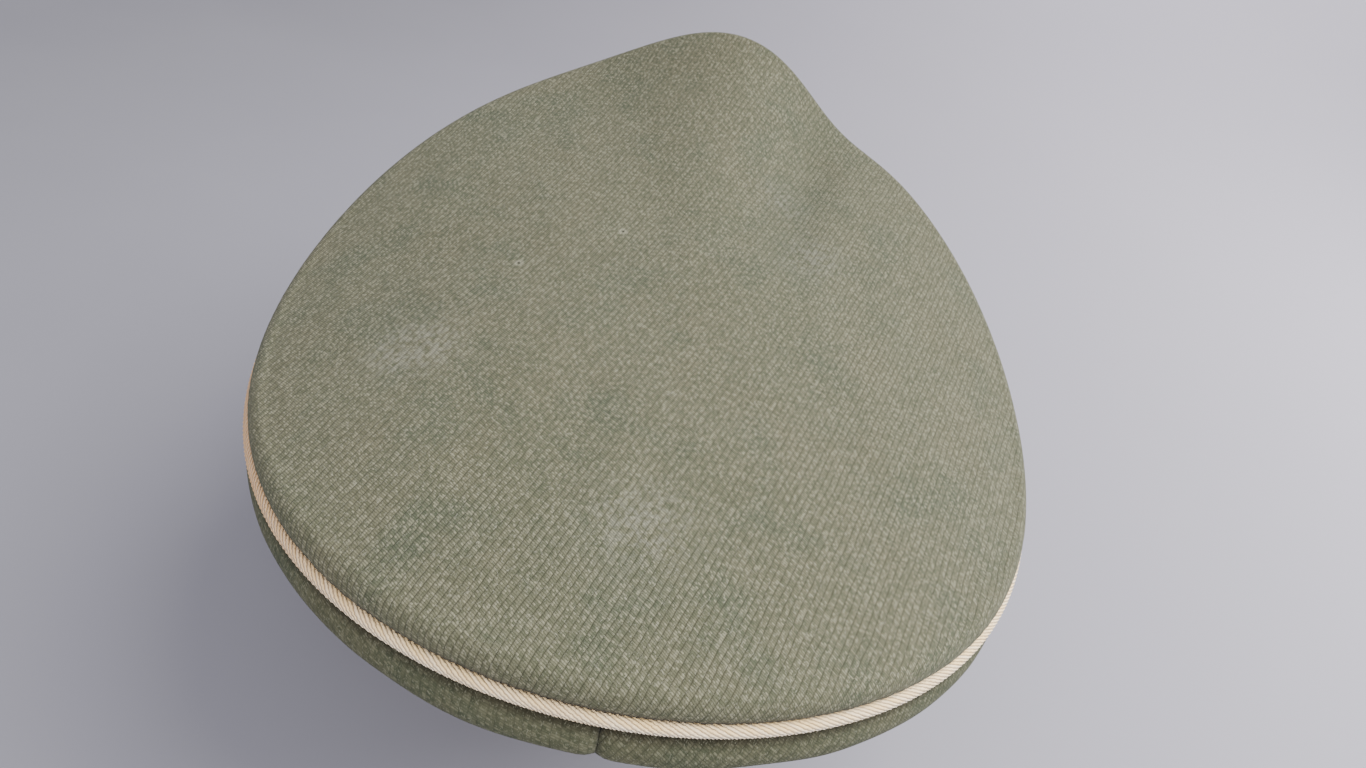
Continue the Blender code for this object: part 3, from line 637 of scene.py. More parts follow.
def make_cord_tree():
    """A round cord along a path, with slanting strands raised on it."""
    t, given, result = geometry_tree("laid_cord", {
        "Radius": number(0.002), "Strands": number(3.0), "Turns": number(100.0),
        "Relief": number(0.0), "Length Steps": ("NodeSocketInt", 700),
        "Round Steps": ("NodeSocketInt", 20), "Forward": number(0.0)})
    path = t.add("GeometryNodeMeshToCurve", {0: given["Geometry"]})
    path = t.add("GeometryNodeResampleCurve", {0: path, "Count": given["Length Steps"]})
    path = t.add("GeometryNodeSetCurveNormal", {0: path}, mode="Z_UP")
    circle = t.add("GeometryNodeCurvePrimitiveCircle", {"Resolution": given["Round Steps"],
                                                        "Radius": given["Radius"]})
    place = t.add("GeometryNodeInputPosition")
    unit = t.vector("NORMALIZE", place)
    keep = t.add("GeometryNodeCaptureAttribute", {0: circle})
    keep.capture_items.new("VECTOR", "Section")
    t.feed(keep.inputs[1], unit)
    tube = t.add("GeometryNodeCurveToMesh", {0: path, "Profile Curve": keep.outputs[0]})
    section = t.split(keep.outputs[1])
    x, y = t.split(place)[:2]
    round_cap = t.math("ARCTAN2", x, t.math("ADD", y, given["Forward"]))
    round_cord = t.math("ARCTAN2", section[1], section[0])
    lay = t.scaled(round_cap, given["Turns"], t.times(round_cord, given["Strands"]))
    swell = t.times(t.math("COSINE", lay), given["Relief"])
    normal = t.add("GeometryNodeInputNormal")
    moved = t.add("GeometryNodeSetPosition", {
        0: tube, "Offset": t.vector("MULTIPLY", normal, t.join(swell, swell, swell))})
    stored = t.add("GeometryNodeStoreNamedAttribute", {0: moved, "Name": "section"},
                   data_type="FLOAT_VECTOR", domain="POINT")
    t.feed(stored.inputs["Value"], keep.outputs[1])
    return close_tree(t, given, result, stored)


CORD_TREE = make_cord_tree()


# ---- Crown ------------------------------------------------------------------------------------

RUBBED = ((84, 36, 9), (77, 33, 11), (-46, -48, 12), (0, 90, 13), (-34, -76, 9))  # mm: x, y, size
VALLEY = ((-50, -139), (-38, -47), 12)                # mm: start, end, width
VALLEY_DEPTH = 1.8 * MM
MOTH_NIPS = ((0.0253, -0.0353), (0.0577, -0.0108))    # metres on the cloth as cut
PANEL_SLACK = 1.2 * MM                                # waviness of the side panels
CROWN_LAY, BAND_LAY = (460, -10), (420, -9)           # turns and strands of the pipings' threads


def near_line(place, start, end, width):
    """1 on the line from start to end and fading to 0 over about its width; the line is in mm."""
    start, end = Vector(start) * MM, Vector(end) * MM
    run = end - start
    share = min(max((place.xy - start).dot(run) / run.length_squared, 0), 1)
    return math.exp(-((place.xy - start - run * share).length / (width * MM)) ** 2)


def crown_relief(place):
    """Small rises and hollows of worn cloth."""
    wave = noise.noise(place / WAVE_LENGTH) + 0.4 * noise.noise(place / WAVE_LENGTH * 2.6)
    return WAVE_HEIGHT * wave - VALLEY_DEPTH * near_line(place, *VALLEY)


def make_crown_cloth():
    """The top panel, drawn over the edge roll and down to the piping."""
    columns = 320
    turns = ring(columns)
    reaches = [1 - (1 - share) ** 1.25 for share in spread(0.02, 1, 64)]
    rows, flats = [], []
    for reach in reaches:
        row, flat = [], []
        for angle in turns + [0.0]:
            place = top_point(reach, angle)
            flat.append((place.x, place.y))
            ease = min(1, 6 * (1 - reach))
            row.append(place + Vector((0, 0, crown_relief(place) * ease)))
        rows.append(row[:-1])
        flats.append(flat)
    rim = flats[-1]
    for lift in spread(math.pi / 2, math.radians(-30), 15)[1:]:
        row, flat = [], []
        beyond = ROLL_RADIUS * (math.pi / 2 - lift)
        for index, angle in enumerate(turns + [0.0]):
            pucker = PUCKER_HEIGHT * math.sin(angle * PUCKERS) * (1 - math.sin(lift))
            pucker += 0.25 * MM * noise.noise(crown_point(1, angle) / (9 * MM))
            row.append(roll_point(angle, ROLL_RADIUS + pucker * (1 - math.sin(lift)) / 2, lift))
            outward = rim_normal(angle)
            flat.append((rim[index][0] + outward.x * beyond, rim[index][1] + outward.y * beyond))
        rows.append(row[:-1])
        flats.append(flat)
    material = ribbed_cloth("crown_cloth_ribbed", RIB_ANGLE, worn=True)
    centre = top_point(0, 0)
    piece = woven("crown_cloth_top", rows, material, flats, closed=True,
                  middle=(centre + Vector((0, 0, crown_relief(centre))), (centre.x, centre.y)))
    places = [v.co.copy() for v in piece.data.vertices]
    store(piece, "rubbed", [min(1, sum(
        math.exp(-((p.xy - Vector((x, y)) * MM).length / (size * MM)) ** 2)
        for x, y, size in RUBBED)) for p in places])
    store(piece, "valley", [near_line(p, *VALLEY) for p in places])
    # the crease mask on the rows nearest the piping feeds a painted shade line there
    last = len(rows) - 1
    store(piece, "crease", [max(0.0, 1 - (last - row) / 3.5) if row <= last else 0.0
                            for row in (index // columns for index in range(len(places)))])
    thicken(piece, CLOTH)
    return wear(piece, "cap", "crown_cloth", "crown_top")


def wear(piece, body, slot, *nodes):
    """Fixes a finished piece to its body and hides the imported nodes that it stands for."""
    if nodes:
        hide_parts(*nodes)
    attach(piece, body)
    return piece


# name, quarter, angle square to the ribs, how strongly they show
SIDE_PANELS = (("rear_left", 0, 0.04, 0.55), ("front_left", 1, 0.5, 0.9),
               ("front_right", 2, -0.5, 0.9), ("rear_right", 3, -0.5, 0.75))


def make_side_panel(place, quarter, rib_angle, contrast):
    """One quarter of the crown's side, turned in along its seams."""
    columns, depth_rows = 110, 30
    seam = 0.35 * GAP / CROWN_WIDTH
    start = quarter * math.pi / 2 + seam
    turns = spread(start, start + math.pi / 2 - 2 * seam, columns)
    radius = (CROWN_WIDTH + CROWN_LENGTH) / 4
    rows = [[] for _ in range(depth_rows)]
    flats = [[] for _ in range(depth_rows)]
    for angle in turns:
        from_seam = min(angle - turns[0], turns[-1] - angle) * radius
        dip = SEAM_DIP * math.exp(-(from_seam / SEAM_WIDTH) ** 2)
        before, length = None, 0.0
        for index, down in enumerate(spread(0, 1, depth_rows)):
            surface = side_point(angle, down)
            ease = math.sin(math.pi * down)
            slack = PANEL_SLACK * noise.noise(surface / (30 * MM)) * ease
            within = min(max(down, 0.01), 0.99)
            point = side_inner(angle, within, dip - slack) + surface - side_point(angle, within)
            length += (surface - before).length if before else 0.0
            before = surface
            rows[index].append(point)
            flats[index].append((angle * radius, length))
    # the side panels get a darker dye than the top, which is painted shade for their place under the
    # roll
    material = ribbed_cloth("crown_cloth_" + place, rib_angle, contrast=contrast, dye_and_shade=SIDE_DYE_AND_SHADE)
    piece = woven("side_cloth_" + place, rows, material, flats)
    # the crease mask on the rows nearest the piping feeds a painted shade line there
    store(piece, "crease", [max(0.0, 1 - index // columns / 2)
                            for index in range(len(piece.data.vertices))])
    thicken(piece, CLOTH)
    fall = side_point(turns[columns // 2], 0) - side_point(turns[columns // 2], 1)
    return wear(piece, "cap", "crown_cloth", "side_" + place)


def make_piping(name, points, radius, turns, strands, relief, forward, material, steps, sides):
    """A twisted cord laid round the cap."""
    path = path_piece(name + "_path", points, True)
    return grown(name, path, CORD_TREE, {
        "Radius": radius, "Strands": float(strands), "Turns": float(turns), "Relief": relief,
        "Length Steps": steps, "Round Steps": sides, "Forward": forward, "Finish": material})


def make_crown_piping():
    material = piping_finish("piping_cream", *CROWN_LAY)
    points = [piping_point(angle) for angle in ring(360)]
    piece = make_piping("crown_piping_cord", points, CROWN_PIPING_RADIUS, *CROWN_LAY, relief=0.2 * MM,
                        forward=CROWN_FORWARD, material=material, steps=3600, sides=18)
    return wear(piece, "cap", "piping_cord", "crown_piping")


# ---- Other finishes ---------------------------------------------------------------------------

def felted_cloth():
    """Dark green wool, milled so that its weave is almost hidden under short hairs."""
    material, t, shader = new_finish("band_cloth_felted", 0.95, specular_ior_level=0.12,
                                     sheen_weight=0.3, sheen_roughness=0.5)
    place = here(t)
    weave = t.use(WEAVE, flat=flat_cloth(t), rib_angle=0.8, rib_pitch=0.9 * MM, float_pitch=0.7 * MM,
                  wobble=0.6)
    color = t.mix(patches(t, place, 0.03, 0.5), tint(26, 37, 31), tint(33, 42, 33))
    # painted shade: darker in the weave's grooves
    color = t.stain(color, weave["Groove"], 0.35, tint(16, 22, 19))
    hairs = fibres(t, place, 0.8)
    color = t.stain(color, hairs, 0.4, tint(78, 88, 74))
    nap = t.scaled(t.noise(place, 2600, 3), 1.2, weave["Height"])
    finish_with(t, shader, color, t.math("ADD", nap, hairs), 0.0002, 0.7)
    return material


def leather(name, face, crease, rough, size, creases=0.5, scuffs=0.3, coat=0.0):
    """Dyed leather: darker in its creases as painted shade, with duller scuffed places."""
    material, t, shader = new_finish(name, rough, coat_roughness=0.2)
    place = here(t)
    grain = t.use(GRAIN, place=place, size=size, creases=creases)
    shade = t.mix(patches(t, place, 0.025, 0.45), face, (*(value * 1.25 for value in face[:3]), 1))
    # painted shade: the grain's creases take the darker crease colour
    color = t.stain(shade, grain["Crease"], 0.7, crease)
    scuff = t.times(patches(t, t.vector("ADD", place, (0.2, 0, 0)), 0.006, 0.2), scuffs)
    color = t.mix(scuff, color, (*(min(1, value * 2 + 0.02) for value in face[:3]), 1))
    dull = t.scaled(scuff, 0.35, t.scaled(grain["Crease"], 0.15, rough))
    if coat:
        t.feed(shader.inputs["Coat Weight"], t.scaled(scuff, -coat, coat))
    finish_with(t, shader, color, grain["Height"], 0.00008, 0.6, dull)
    return material


def lacquer():
    """Black lacquer over fibre: glossy and faintly wavy, with fine scratches and dust."""
    material, t, shader = new_finish("visor_lacquer_black", 0.16, coat_roughness=0.06)
    place = here(t)
    drawn = t.vector("MULTIPLY", place, (120.0, 1500.0, 1500.0))
    scratch = t.smooth(t.noise(drawn, 1.0, 2), 0.66, 0.72)
    fine = t.smooth(t.noise(t.vector("MULTIPLY", place, (1700.0, 160.0, 900.0)), 1.0, 2), 0.69, 0.74)
    marks = t.math("MAXIMUM", scratch, fine)
    dust = specks(t, place, 0.006, 0.06)
    color = t.mix(patches(t, place, 0.03, 0.3), (0.006, 0.006, 0.007, 1), (0.012, 0.011, 0.010, 1))
    color = t.stain(color, marks, 0.5, (0.05, 0.045, 0.04, 1))
    color = t.stain(color, dust, 0.4, (0.2, 0.19, 0.17, 1))
    t.feed(shader.inputs["Coat Weight"], t.scaled(marks, -0.6, 0.9))
    wavy = t.scaled(marks, -0.25, t.noise(place, 160, 2))
    rough = t.scaled(t.noise(place, 60, 3), 0.1, 0.14)
    finish_with(t, shader, color, wavy, 0.00012, 0.35, t.scaled(marks, 0.25, rough))
    return material


def metal(name, color, dark, rough, grime=0.6):
    """Worn metal: fine brushed lines, tarnish in patches and grime in small pits."""
    material, t, shader = new_finish(name, rough, metallic=1.0)
    place = here(t)
    brushed = t.noise(t.vector("MULTIPLY", place, (900.0, 900.0, 9000.0)), 1.0, 2)
    tarnish = patches(t, place, 0.004, 0.4)
    pits = specks(t, place, 0.0014, 0.2)
    shade = t.stain(color, tarnish, grime, dark)
    shade = t.stain(shade, pits, grime, (*(value * 0.3 for value in dark[:3]), 1))
    dull = t.scaled(brushed, 0.15, t.scaled(tarnish, 0.25, rough - 0.1))
    height = t.scaled(pits, -0.8, brushed)
    finish_with(t, shader, shade, height, 0.00003, 0.5, dull)
    return material


def satin():
    """Old-gold lining satin, its fine warps catching the light, water-marked by wear."""
    material, t, shader = new_finish("lining_satin_gold", 0.35, sheen_weight=0.4, sheen_roughness=0.3,
                                     anisotropic=0.4)
    place = here(t)
    warps = t.noise(t.vector("MULTIPLY", place, (6000.0, 500.0, 6000.0)), 1.0, 2)
    wefts = t.noise(t.vector("MULTIPLY", place, (400.0, 5000.0, 700.0)), 1.0, 2)
    color = t.mix(warps, tint(164, 128, 66), tint(198, 164, 96))
    marks = patches(t, place, 0.035, 0.3)
    color = t.stain(color, marks, 0.5, tint(128, 92, 48))
    height = t.scaled(wefts, 0.4, warps)
    finish_with(t, shader, color, height, 0.00008, 0.5, t.scaled(marks, 0.2, 0.32))
    return material


def pressed_fibre():
    """Brown vulcanised fibre board with flattened flecks."""
    material, t, shader = new_finish("fibre_board_brown", 0.75)
    place = here(t)
    flecks = t.noise(t.vector("MULTIPLY", place, (260.0, 260.0, 1400.0)), 1.0, 4, 0.7)
    color = t.mix(t.smooth(flecks, 0.35, 0.65), tint(112, 78, 50), tint(160, 122, 84))
    color = t.mix(specks(t, place, 0.004, 0.15), color, tint(70, 46, 30))
    finish_with(t, shader, color, flecks, 0.00015, 0.6, t.scaled(flecks, 0.2, 0.6))
    return material


def plain_weave(name, light, dark, pitch, rough=0.9, sheen=0.1):
    """A plain over-and-under weave on three axes, for canvas and ribbon."""
    material, t, shader = new_finish(name, rough, sheen_weight=sheen)
    place = here(t)
    waves = []
    for axis in (0, 2):
        phase = t.times(t.split(place)[axis], math.pi / pitch)
        phase = t.scaled(t.noise(place, 300, 2), 0.8, phase)
        waves.append(t.math("ABSOLUTE", t.math("SINE", phase)))
    height = t.times(*waves)
    patch = patches(t, place, 0.02, 0.4)
    # painted shade: the dark colour fills the low places between the threads
    color = t.mix(height, dark, t.mix(patch, light, (*(value * 0.8 for value in light[:3]), 1)))
    hairs = fibres(t, place, 0.5)
    color = t.stain(color, hairs, 0.4, light)
    finish_with(t, shader, color, height, 0.00015, 0.7, t.scaled(patch, 0.08, rough - 0.05))
    return material


def felt():
    """Grey padding felt: matted fibres with darker tufts."""
    material, t, shader = new_finish("padding_felt", 0.97, sheen_weight=0.3)
    place = here(t)
    matted = t.noise(place, 1800, 4, 0.7)
    hairs = fibres(t, place, 1.0)
    color = t.mix(matted, tint(118, 114, 104), tint(164, 160, 150))
    color = t.mix(patches(t, place, 0.012, 0.3), color, tint(112, 104, 96))
    color = t.stain(color, hairs, 0.5, tint(206, 202, 190))
    finish_with(t, shader, color, t.math("ADD", matted, hairs), 0.0003, 0.8)
    return material


def celluloid():
    """Yellowed clear sheet, a little hazed and scratched."""
    material, t, shader = new_finish("shield_celluloid", 0.18, coat_weight=0.6, coat_roughness=0.1)
    place = here(t)
    haze = patches(t, place, 0.03, 0.5)
    lines = t.smooth(t.noise(t.vector("MULTIPLY", place, (90.0, 1800.0, 900.0)), 1.0, 2), 0.66, 0.72)
    color = t.mix(haze, tint(206, 180, 116), tint(190, 156, 92))
    color = t.stain(color, lines, 0.4, tint(232, 220, 180))
    rough = t.scaled(haze, 0.15, t.scaled(lines, 0.3, 0.16))
    finish_with(t, shader, color, t.noise(place, 120, 2), 0.0002, 0.3, rough)
    return material


def thread(name, light, dark):
    """Waxed sewing thread, with its twist."""
    material, t, shader = new_finish(name, 0.6, sheen_weight=0.2)
    place = here(t)
    twist = t.noise(t.vector("MULTIPLY", place, (3000.0, 3000.0, 3000.0)), 1.0, 1)
    color = t.mix(t.smooth(twist, 0.35, 0.65), dark, light)
    finish_with(t, shader, color, twist, 0.00006, 0.8, t.scaled(twist, 0.2, 0.5))
    return material


BLACK_LEATHER = leather("strap_leather_black", tint(26, 23, 21), tint(9, 8, 7), 0.48, 0.7 * MM,
                        creases=0.7, coat=0.12)
WASHER_LEATHER = leather("washer_leather", tint(52, 40, 32), tint(24, 18, 14), 0.6, 0.5 * MM)
TAN_LEATHER = leather("sweat_leather_tan", tint(168, 118, 76), tint(112, 72, 42), 0.5, 0.9 * MM,
                      scuffs=0.25)
GREEN_LEATHER = leather("visor_lining_green", tint(96, 100, 74), tint(58, 62, 44), 0.55, 1.1 * MM)
BUTTON_METAL = metal("button_metal_grey", (0.42, 0.42, 0.40, 1), (0.20, 0.19, 0.17, 1), 0.34, 0.5)
STEEL = metal("spring_steel_worn", (0.42, 0.42, 0.44, 1), (0.24, 0.15, 0.10, 1), 0.38, 0.5)
PALE_THREAD = thread("thread_pale", tint(214, 202, 170), tint(150, 134, 100))
DARK_THREAD = thread("thread_dark", tint(70, 66, 60), tint(26, 24, 22))
SATIN = satin()


# ---- Trees for what repeats ---------------------------------------------------------------------

def make_row_tree():
    """Sets one small rounded bead after another along a path: stitches, beads or punched holes."""
    t, given, result = geometry_tree("row_of_beads", {
        "Spacing": number(0.003), "Long": number(0.002), "Thick": number(0.0005)})
    path = t.add("GeometryNodeMeshToCurve", {0: given["Geometry"]})
    points = t.add("GeometryNodeCurveToPoints", {0: path, "Length": given["Spacing"]}, mode="LENGTH")
    along = t.add("FunctionNodeAlignRotationToVector", {"Vector": points.outputs["Tangent"]}, axis="X")
    bead = t.add("GeometryNodeMeshUVSphere", {"Segments": 8, "Rings": 6, "Radius": 0.5})
    size = t.join(given["Long"], given["Thick"], given["Thick"])
    placed = t.add("GeometryNodeInstanceOnPoints", {0: points, "Instance": bead, "Rotation": along,
                                                    "Scale": size})
    return close_tree(t, given, result, placed)


def make_pebble_tree():
    """Covers the marked part of a surface with low rounded pebbles."""
    t, given, result = geometry_tree("pebbled_face", {
        "Spacing": number(0.0008), "Size": number(0.0004), "Seed": ("NodeSocketInt", 3)})
    marked = t.add("GeometryNodeInputNamedAttribute", {"Name": "pebbled"}, data_type="FLOAT")
    spots = t.add("GeometryNodeDistributePointsOnFaces", {
        0: given["Geometry"], "Distance Min": given["Spacing"], "Density Max": 2e7,
        "Density Factor": marked, "Seed": given["Seed"]}, distribute_method="POISSON")
    pebble = t.add("GeometryNodeMeshIcoSphere", {"Radius": 1.0, "Subdivisions": 1})
    flat = t.times(given["Size"], 0.6)
    placed = t.add("GeometryNodeInstanceOnPoints", {
        0: spots, "Instance": pebble, "Rotation": spots.outputs["Rotation"],
        "Scale": t.join(given["Size"], given["Size"], flat)})
    both = t.add("GeometryNodeJoinGeometry")
    t.feed(both.inputs[0], placed)
    t.feed(both.inputs[0], given["Geometry"])
    return close_tree(t, given, result, both)


ROW_TREE = make_row_tree()
PEBBLE_TREE = make_pebble_tree()


def row_along(name, points, closed, spacing, long, thick, material, body, slot):
    """Stitches or beads along a path, riding on a body."""
    piece = grown(name, path_piece(name + "_path", points, closed), ROW_TREE, {
        "Spacing": spacing, "Long": long, "Thick": thick, "Finish": material})
    return wear(piece, body, slot)


# ---- Solid shapes -------------------------------------------------------------------------------

def outward(piece):
    """Makes a closed piece's faces look outwards."""
    bm = bmesh.new()
    bm.from_mesh(piece.data)
    bmesh.ops.remove_doubles(bm, verts=bm.verts, dist=0.002 * MM)
    bmesh.ops.recalc_face_normals(bm, faces=bm.faces)
    bm.to_mesh(piece.data)
    bm.free()
    piece.data.set_sharp_from_angle(angle=math.radians(50))
    return piece


def lofted(name, sections, material, closed=False):
    """Closed outlines joined one to the next, capped at the ends or closed into a ring."""
    count = len(sections[0])
    points = [p for section in sections for p in section]
    faces = []
    for s in range(len(sections) if closed else len(sections) - 1):
        first, second = s * count, (s + 1) % len(sections) * count
        faces += [(first + i, first + (i + 1) % count, second + (i + 1) % count, second + i)
                  for i in range(count)]
    if not closed:
        faces.append(tuple(range(count)))
        faces.append(tuple(len(points) - 1 - i for i in range(count)))
    return outward(mesh_piece(name, points, faces, material))


def turned(name, profile, steps, place, material):
    """A profile of (radius, height) points turned about a place's Z axis."""
    sections = []
    for angle in ring(steps):
        sections.append([place @ Vector((r * math.cos(angle), r * math.sin(angle), z))
                         for r, z in profile])
    return lofted(name, sections, material, closed=True)


def wear_node(name, material):
    """Gives a carried-over node its finish."""
    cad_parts[name].data.materials.clear()
    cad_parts[name].data.materials.append(material)


# ---- Band ---------------------------------------------------------------------------------------

def make_band():
    """The felted band, with a joined seam at the back, and its two pipings."""
    columns, levels = 300, 14
    turns = ring(columns)
    rows, flats = [], []
    girth = math.pi * (HEAD_LENGTH + HEAD_WIDTH) / 2 + math.tau * BAND_OFFSET
    for level in spread(BAND_HEIGHT, 0, levels):
        row = []
        for angle in turns:
            edge = min(level, BAND_HEIGHT - level)
            soft = -0.35 * MM * math.exp(-(edge / (1.2 * MM)) ** 2)
            seam = -0.5 * MM * math.exp(-(min(angle, math.tau - angle) / 0.012) ** 2)
            nap = 0.15 * MM * noise.noise(band_point(angle, 0, level) / (14 * MM))
            row.append(band_point(angle, BAND_OFFSET + soft + seam + nap - 0.1 * MM, level))
        rows.append(row)
        flats.append([(girth * i / columns, level) for i in range(columns + 1)])
    piece = woven("band_cloth_ring", rows, felted_cloth(), flats, closed=True)
    thicken(piece, COVER_WALL - 0.2 * MM)
    wear(piece, "cap", "band_cloth", "band_cover")
    cream = piping_finish("band_piping_cream", *BAND_LAY, forward=0.0)
    for place, level in (("lower", BAND_PIPING_INSET), ("upper", BAND_HEIGHT - BAND_PIPING_INSET)):
        points = [band_point(a, BAND_OFFSET + BAND_PIPING_RADIUS + GAP, level) for a in ring(240)]
        cord = make_piping("band_piping_cord_" + place, points, BAND_PIPING_RADIUS, *BAND_LAY,
                           relief=0.03 * MM, forward=0.0, material=cream, steps=1700, sides=14)
        wear(cord, "cap", "piping_cord", "band_piping_" + place)


def make_sweatband():
    """The leather head band, sewn in along its lower edge and punched at the front."""
    rows = []
    for level in spread(SWEATBAND_HEIGHT, GAP, 18):
        row = []
        for angle in ring(260):
            ripple = 0.18 * MM * noise.noise(band_point(angle, 0, level) / (16 * MM))
            row.append(band_point(angle, SWEATBAND_WALL - 0.25 * MM + ripple, level))
        rows.append(row)
    piece = woven("sweatband_leather", rows, TAN_LEATHER, closed=True)
    thicken(piece, SWEATBAND_WALL - 0.3 * MM)
    wear(piece, "cap", "sweat_leather", "sweatband")
    for place, level in (("lower", 3 * MM), ("upper", SWEATBAND_HEIGHT - 2.5 * MM)):
        points = [band_point(a, 0.1 * MM, level) for a in ring(240)]
        row_along("sweatband_stitches_" + place, points, True, 3.2 * MM, 2.3 * MM, 0.6 * MM,
                  PALE_THREAD, "cap", "sweat_leather")
    # painted shade: each punched hole is a dark bead standing in for the shadow inside the hole
    holes = leather("punched_hole", tint(40, 26, 16), tint(20, 12, 8), 0.8, 0.5 * MM)
    for index, level in enumerate((20 * MM, 23.5 * MM, 27 * MM)):
        start = math.pi - 0.42 + 0.011 * (index % 2)
        points = [band_point(a, 0.3 * MM, level) for a in spread(start, start + 0.84, 40)]
        row_along("sweatband_holes_" + str(index + 1), points, False, 3.6 * MM, 1.0 * MM, 1.0 * MM,
                  holes, "cap", "sweat_leather")


def make_bow():
    """The ribbon bow at the back of the sweatband: two loops, a knot and two tails."""
    level, depth = SWEATBAND_HEIGHT - 6 * MM, HEAD_LENGTH / 2 - 1.7 * MM
    ribbon = plain_weave("ribbon_brown", tint(96, 74, 54), tint(44, 32, 24), 0.35 * MM, 0.5, 0.3)
    half = 1.9 * MM
    paths = []
    for sign in (1, -1):
        loop = [(sign * (1.2 * MM + 7.2 * MM * math.sin(turn / 2)),
                 depth - 0.75 * MM * math.sin(turn), 0) for turn in spread(0, math.tau, 30)]
        tail = [(sign * 5 * MM * share, depth - 0.9 * MM, -5 * MM * share ** 0.8)
                for share in spread(0, 1, 12)]
        paths += [(loop, half), (tail, half * 0.7)]
    points, faces = [], []
    for path, width in paths:
        base, count = len(points), len(path)
        points += [Vector((x, y, level + z + edge)) for edge in (width, -width) for x, y, z in path]
        faces += [(base + i, base + i + 1, base + count + i + 1, base + count + i)
                  for i in range(count - 1)]
    loops = mesh_piece("bow_loops", points, faces, ribbon)
    solid = loops.modifiers.new("Wall", "SOLIDIFY")
    solid.thickness, solid.offset = 0.25 * MM, 0.0
    wear(loops, "cap", "ribbon", "sweatband_bow")
    knot = []
    for share in spread(-1, 1, 9):
        swell = math.sqrt(1 - 0.6 * share ** 2)
        knot.append([Vector((1.5 * MM * swell * math.cos(turn),
                             depth + 0.85 * MM * swell * math.sin(turn),
                             level + 2.1 * MM * share)) for turn in ring(14)])
    wear(lofted("bow_knot", knot, ribbon), "cap", "ribbon")


# ---- Linings ------------------------------------------------------------------------------------

PLEATS = 96


def make_linings():
    """The crown lining, the pleated side lining, and the sweat shield with its stitches."""
    turns = ring(288)
    rows = []
    for reach in spread(0.03, LINING_EDGE, 26):
        row = []
        for angle in turns:
            place = lining_point(reach, angle)
            sag = 0.5 * MM * noise.noise(place / (24 * MM))
            row.append(place + Vector((0, 0, sag * (1 - reach / LINING_EDGE))))
        rows.append(row)
    centre = lining_point(0, 0)
    crown = woven("lining_crown_satin", rows, SATIN, closed=True, middle=(centre, None))
    thicken(crown, LINING_WALL)
    wear(crown, "cap", "lining_satin", "crown_lining")

    rows = []
    turns = ring(PLEATS * 6)
    for down in spread(0, 1, 12):
        row = []
        for angle in turns:
            top = lining_point(LINING_EDGE, angle) - Vector((0, 0, LINING_WALL + 2 * GAP))
            foot = band_point(angle, SWEATBAND_WALL + SWEATBAND_ROOM / 2, BAND_HEIGHT + GAP)
            pleat = math.cos(angle * PLEATS) * 0.8 * MM * math.sin(math.pi * down) ** 0.5
            row.append(top.lerp(foot, down) - band_normal(angle) * (abs(pleat) + 0.1 * MM))
        rows.append(row)
    side = woven("lining_side_satin", rows, SATIN, closed=True)
    thicken(side, LINING_WALL)
    wear(side, "cap", "lining_satin", "side_lining")

    wear_node("sweat_shield", celluloid())
    low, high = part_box("sweat_shield")
    corners = [(0, high.y), (low.x, (low.y + high.y) / 2), (0, low.y), (high.x, (low.y + high.y) / 2)]
    points = []
    for start, end in zip(corners, corners[1:] + corners[:1]):
        for share in spread(0, 1, 25)[:-1]:
            x, y = (0.97 * (a + (b - a) * share) for a, b in zip(start, end))
            y -= 0.03 * CROWN_FORWARD
            reach = math.hypot(x / (CROWN_WIDTH / 2), (y + CROWN_FORWARD) / (CROWN_LENGTH / 2))
            turn = math.atan2(x / CROWN_WIDTH, (y + CROWN_FORWARD) / CROWN_LENGTH)
            z = lining_point(reach, turn).z - LINING_WALL - 3 * GAP - 0.55 * MM
            points.append((x, y, z))
    row_along("shield_stitches", points, True, 4 * MM, 2.8 * MM, 0.6 * MM, PALE_THREAD, "cap",
              "lining_satin")


# ---- Visor --------------------------------------------------------------------------------------

VISOR_LENGTH = 50 * MM
VISOR_SLOPE = math.radians(48)
VISOR_SPREAD = math.radians(66)
VISOR_END = 3 * MM
VISOR_WALL = 2.2 * MM
VISOR_CROWNING = 4 * MM
VISOR_LINING_WALL = 1.0 * MM
BINDING_WALL = 0.8 * MM
BINDING_WIDTH = 4.5 * MM
BINDING_SHARE = 0.95


def visor_reach(side):
    return VISOR_END + (VISOR_LENGTH - VISOR_END) * math.sqrt(max(0.0, 1 - side ** 2))


def visor_point(side, out, depth=0.0):
    """The visor's upper surface, or a depth under it; out is 0 at the band, 1 at the edge."""
    angle = math.pi + side * VISOR_SPREAD
    root = band_point(angle, COVER_OFFSET, -GAP)
    normal, down = band_normal(angle), Vector((0, 0, -1))
    along = normal * math.cos(VISOR_SLOPE) + down * math.sin(VISOR_SLOPE)
    above = normal * math.sin(VISOR_SLOPE) - down * math.cos(VISOR_SLOPE)
    reach = visor_reach(side)
    rise = VISOR_CROWNING * (reach / VISOR_LENGTH) * 4 * out * (1 - out) - depth
    return root + along * reach * out + above * rise


def visor_sides(share, count):
    return [math.sin(turn) * share for turn in spread(-math.pi / 2, math.pi / 2, count)]


def visor_rows(share, inset, depth, count, outs):
    rows = []
    for out in spread(0, 1, outs):
        row = []
        for side in visor_sides(share, count):
            start = inset / visor_reach(side)
            row.append(visor_point(side, start + (1 - 2 * start) * out, depth))
        rows.append(row)
    return rows


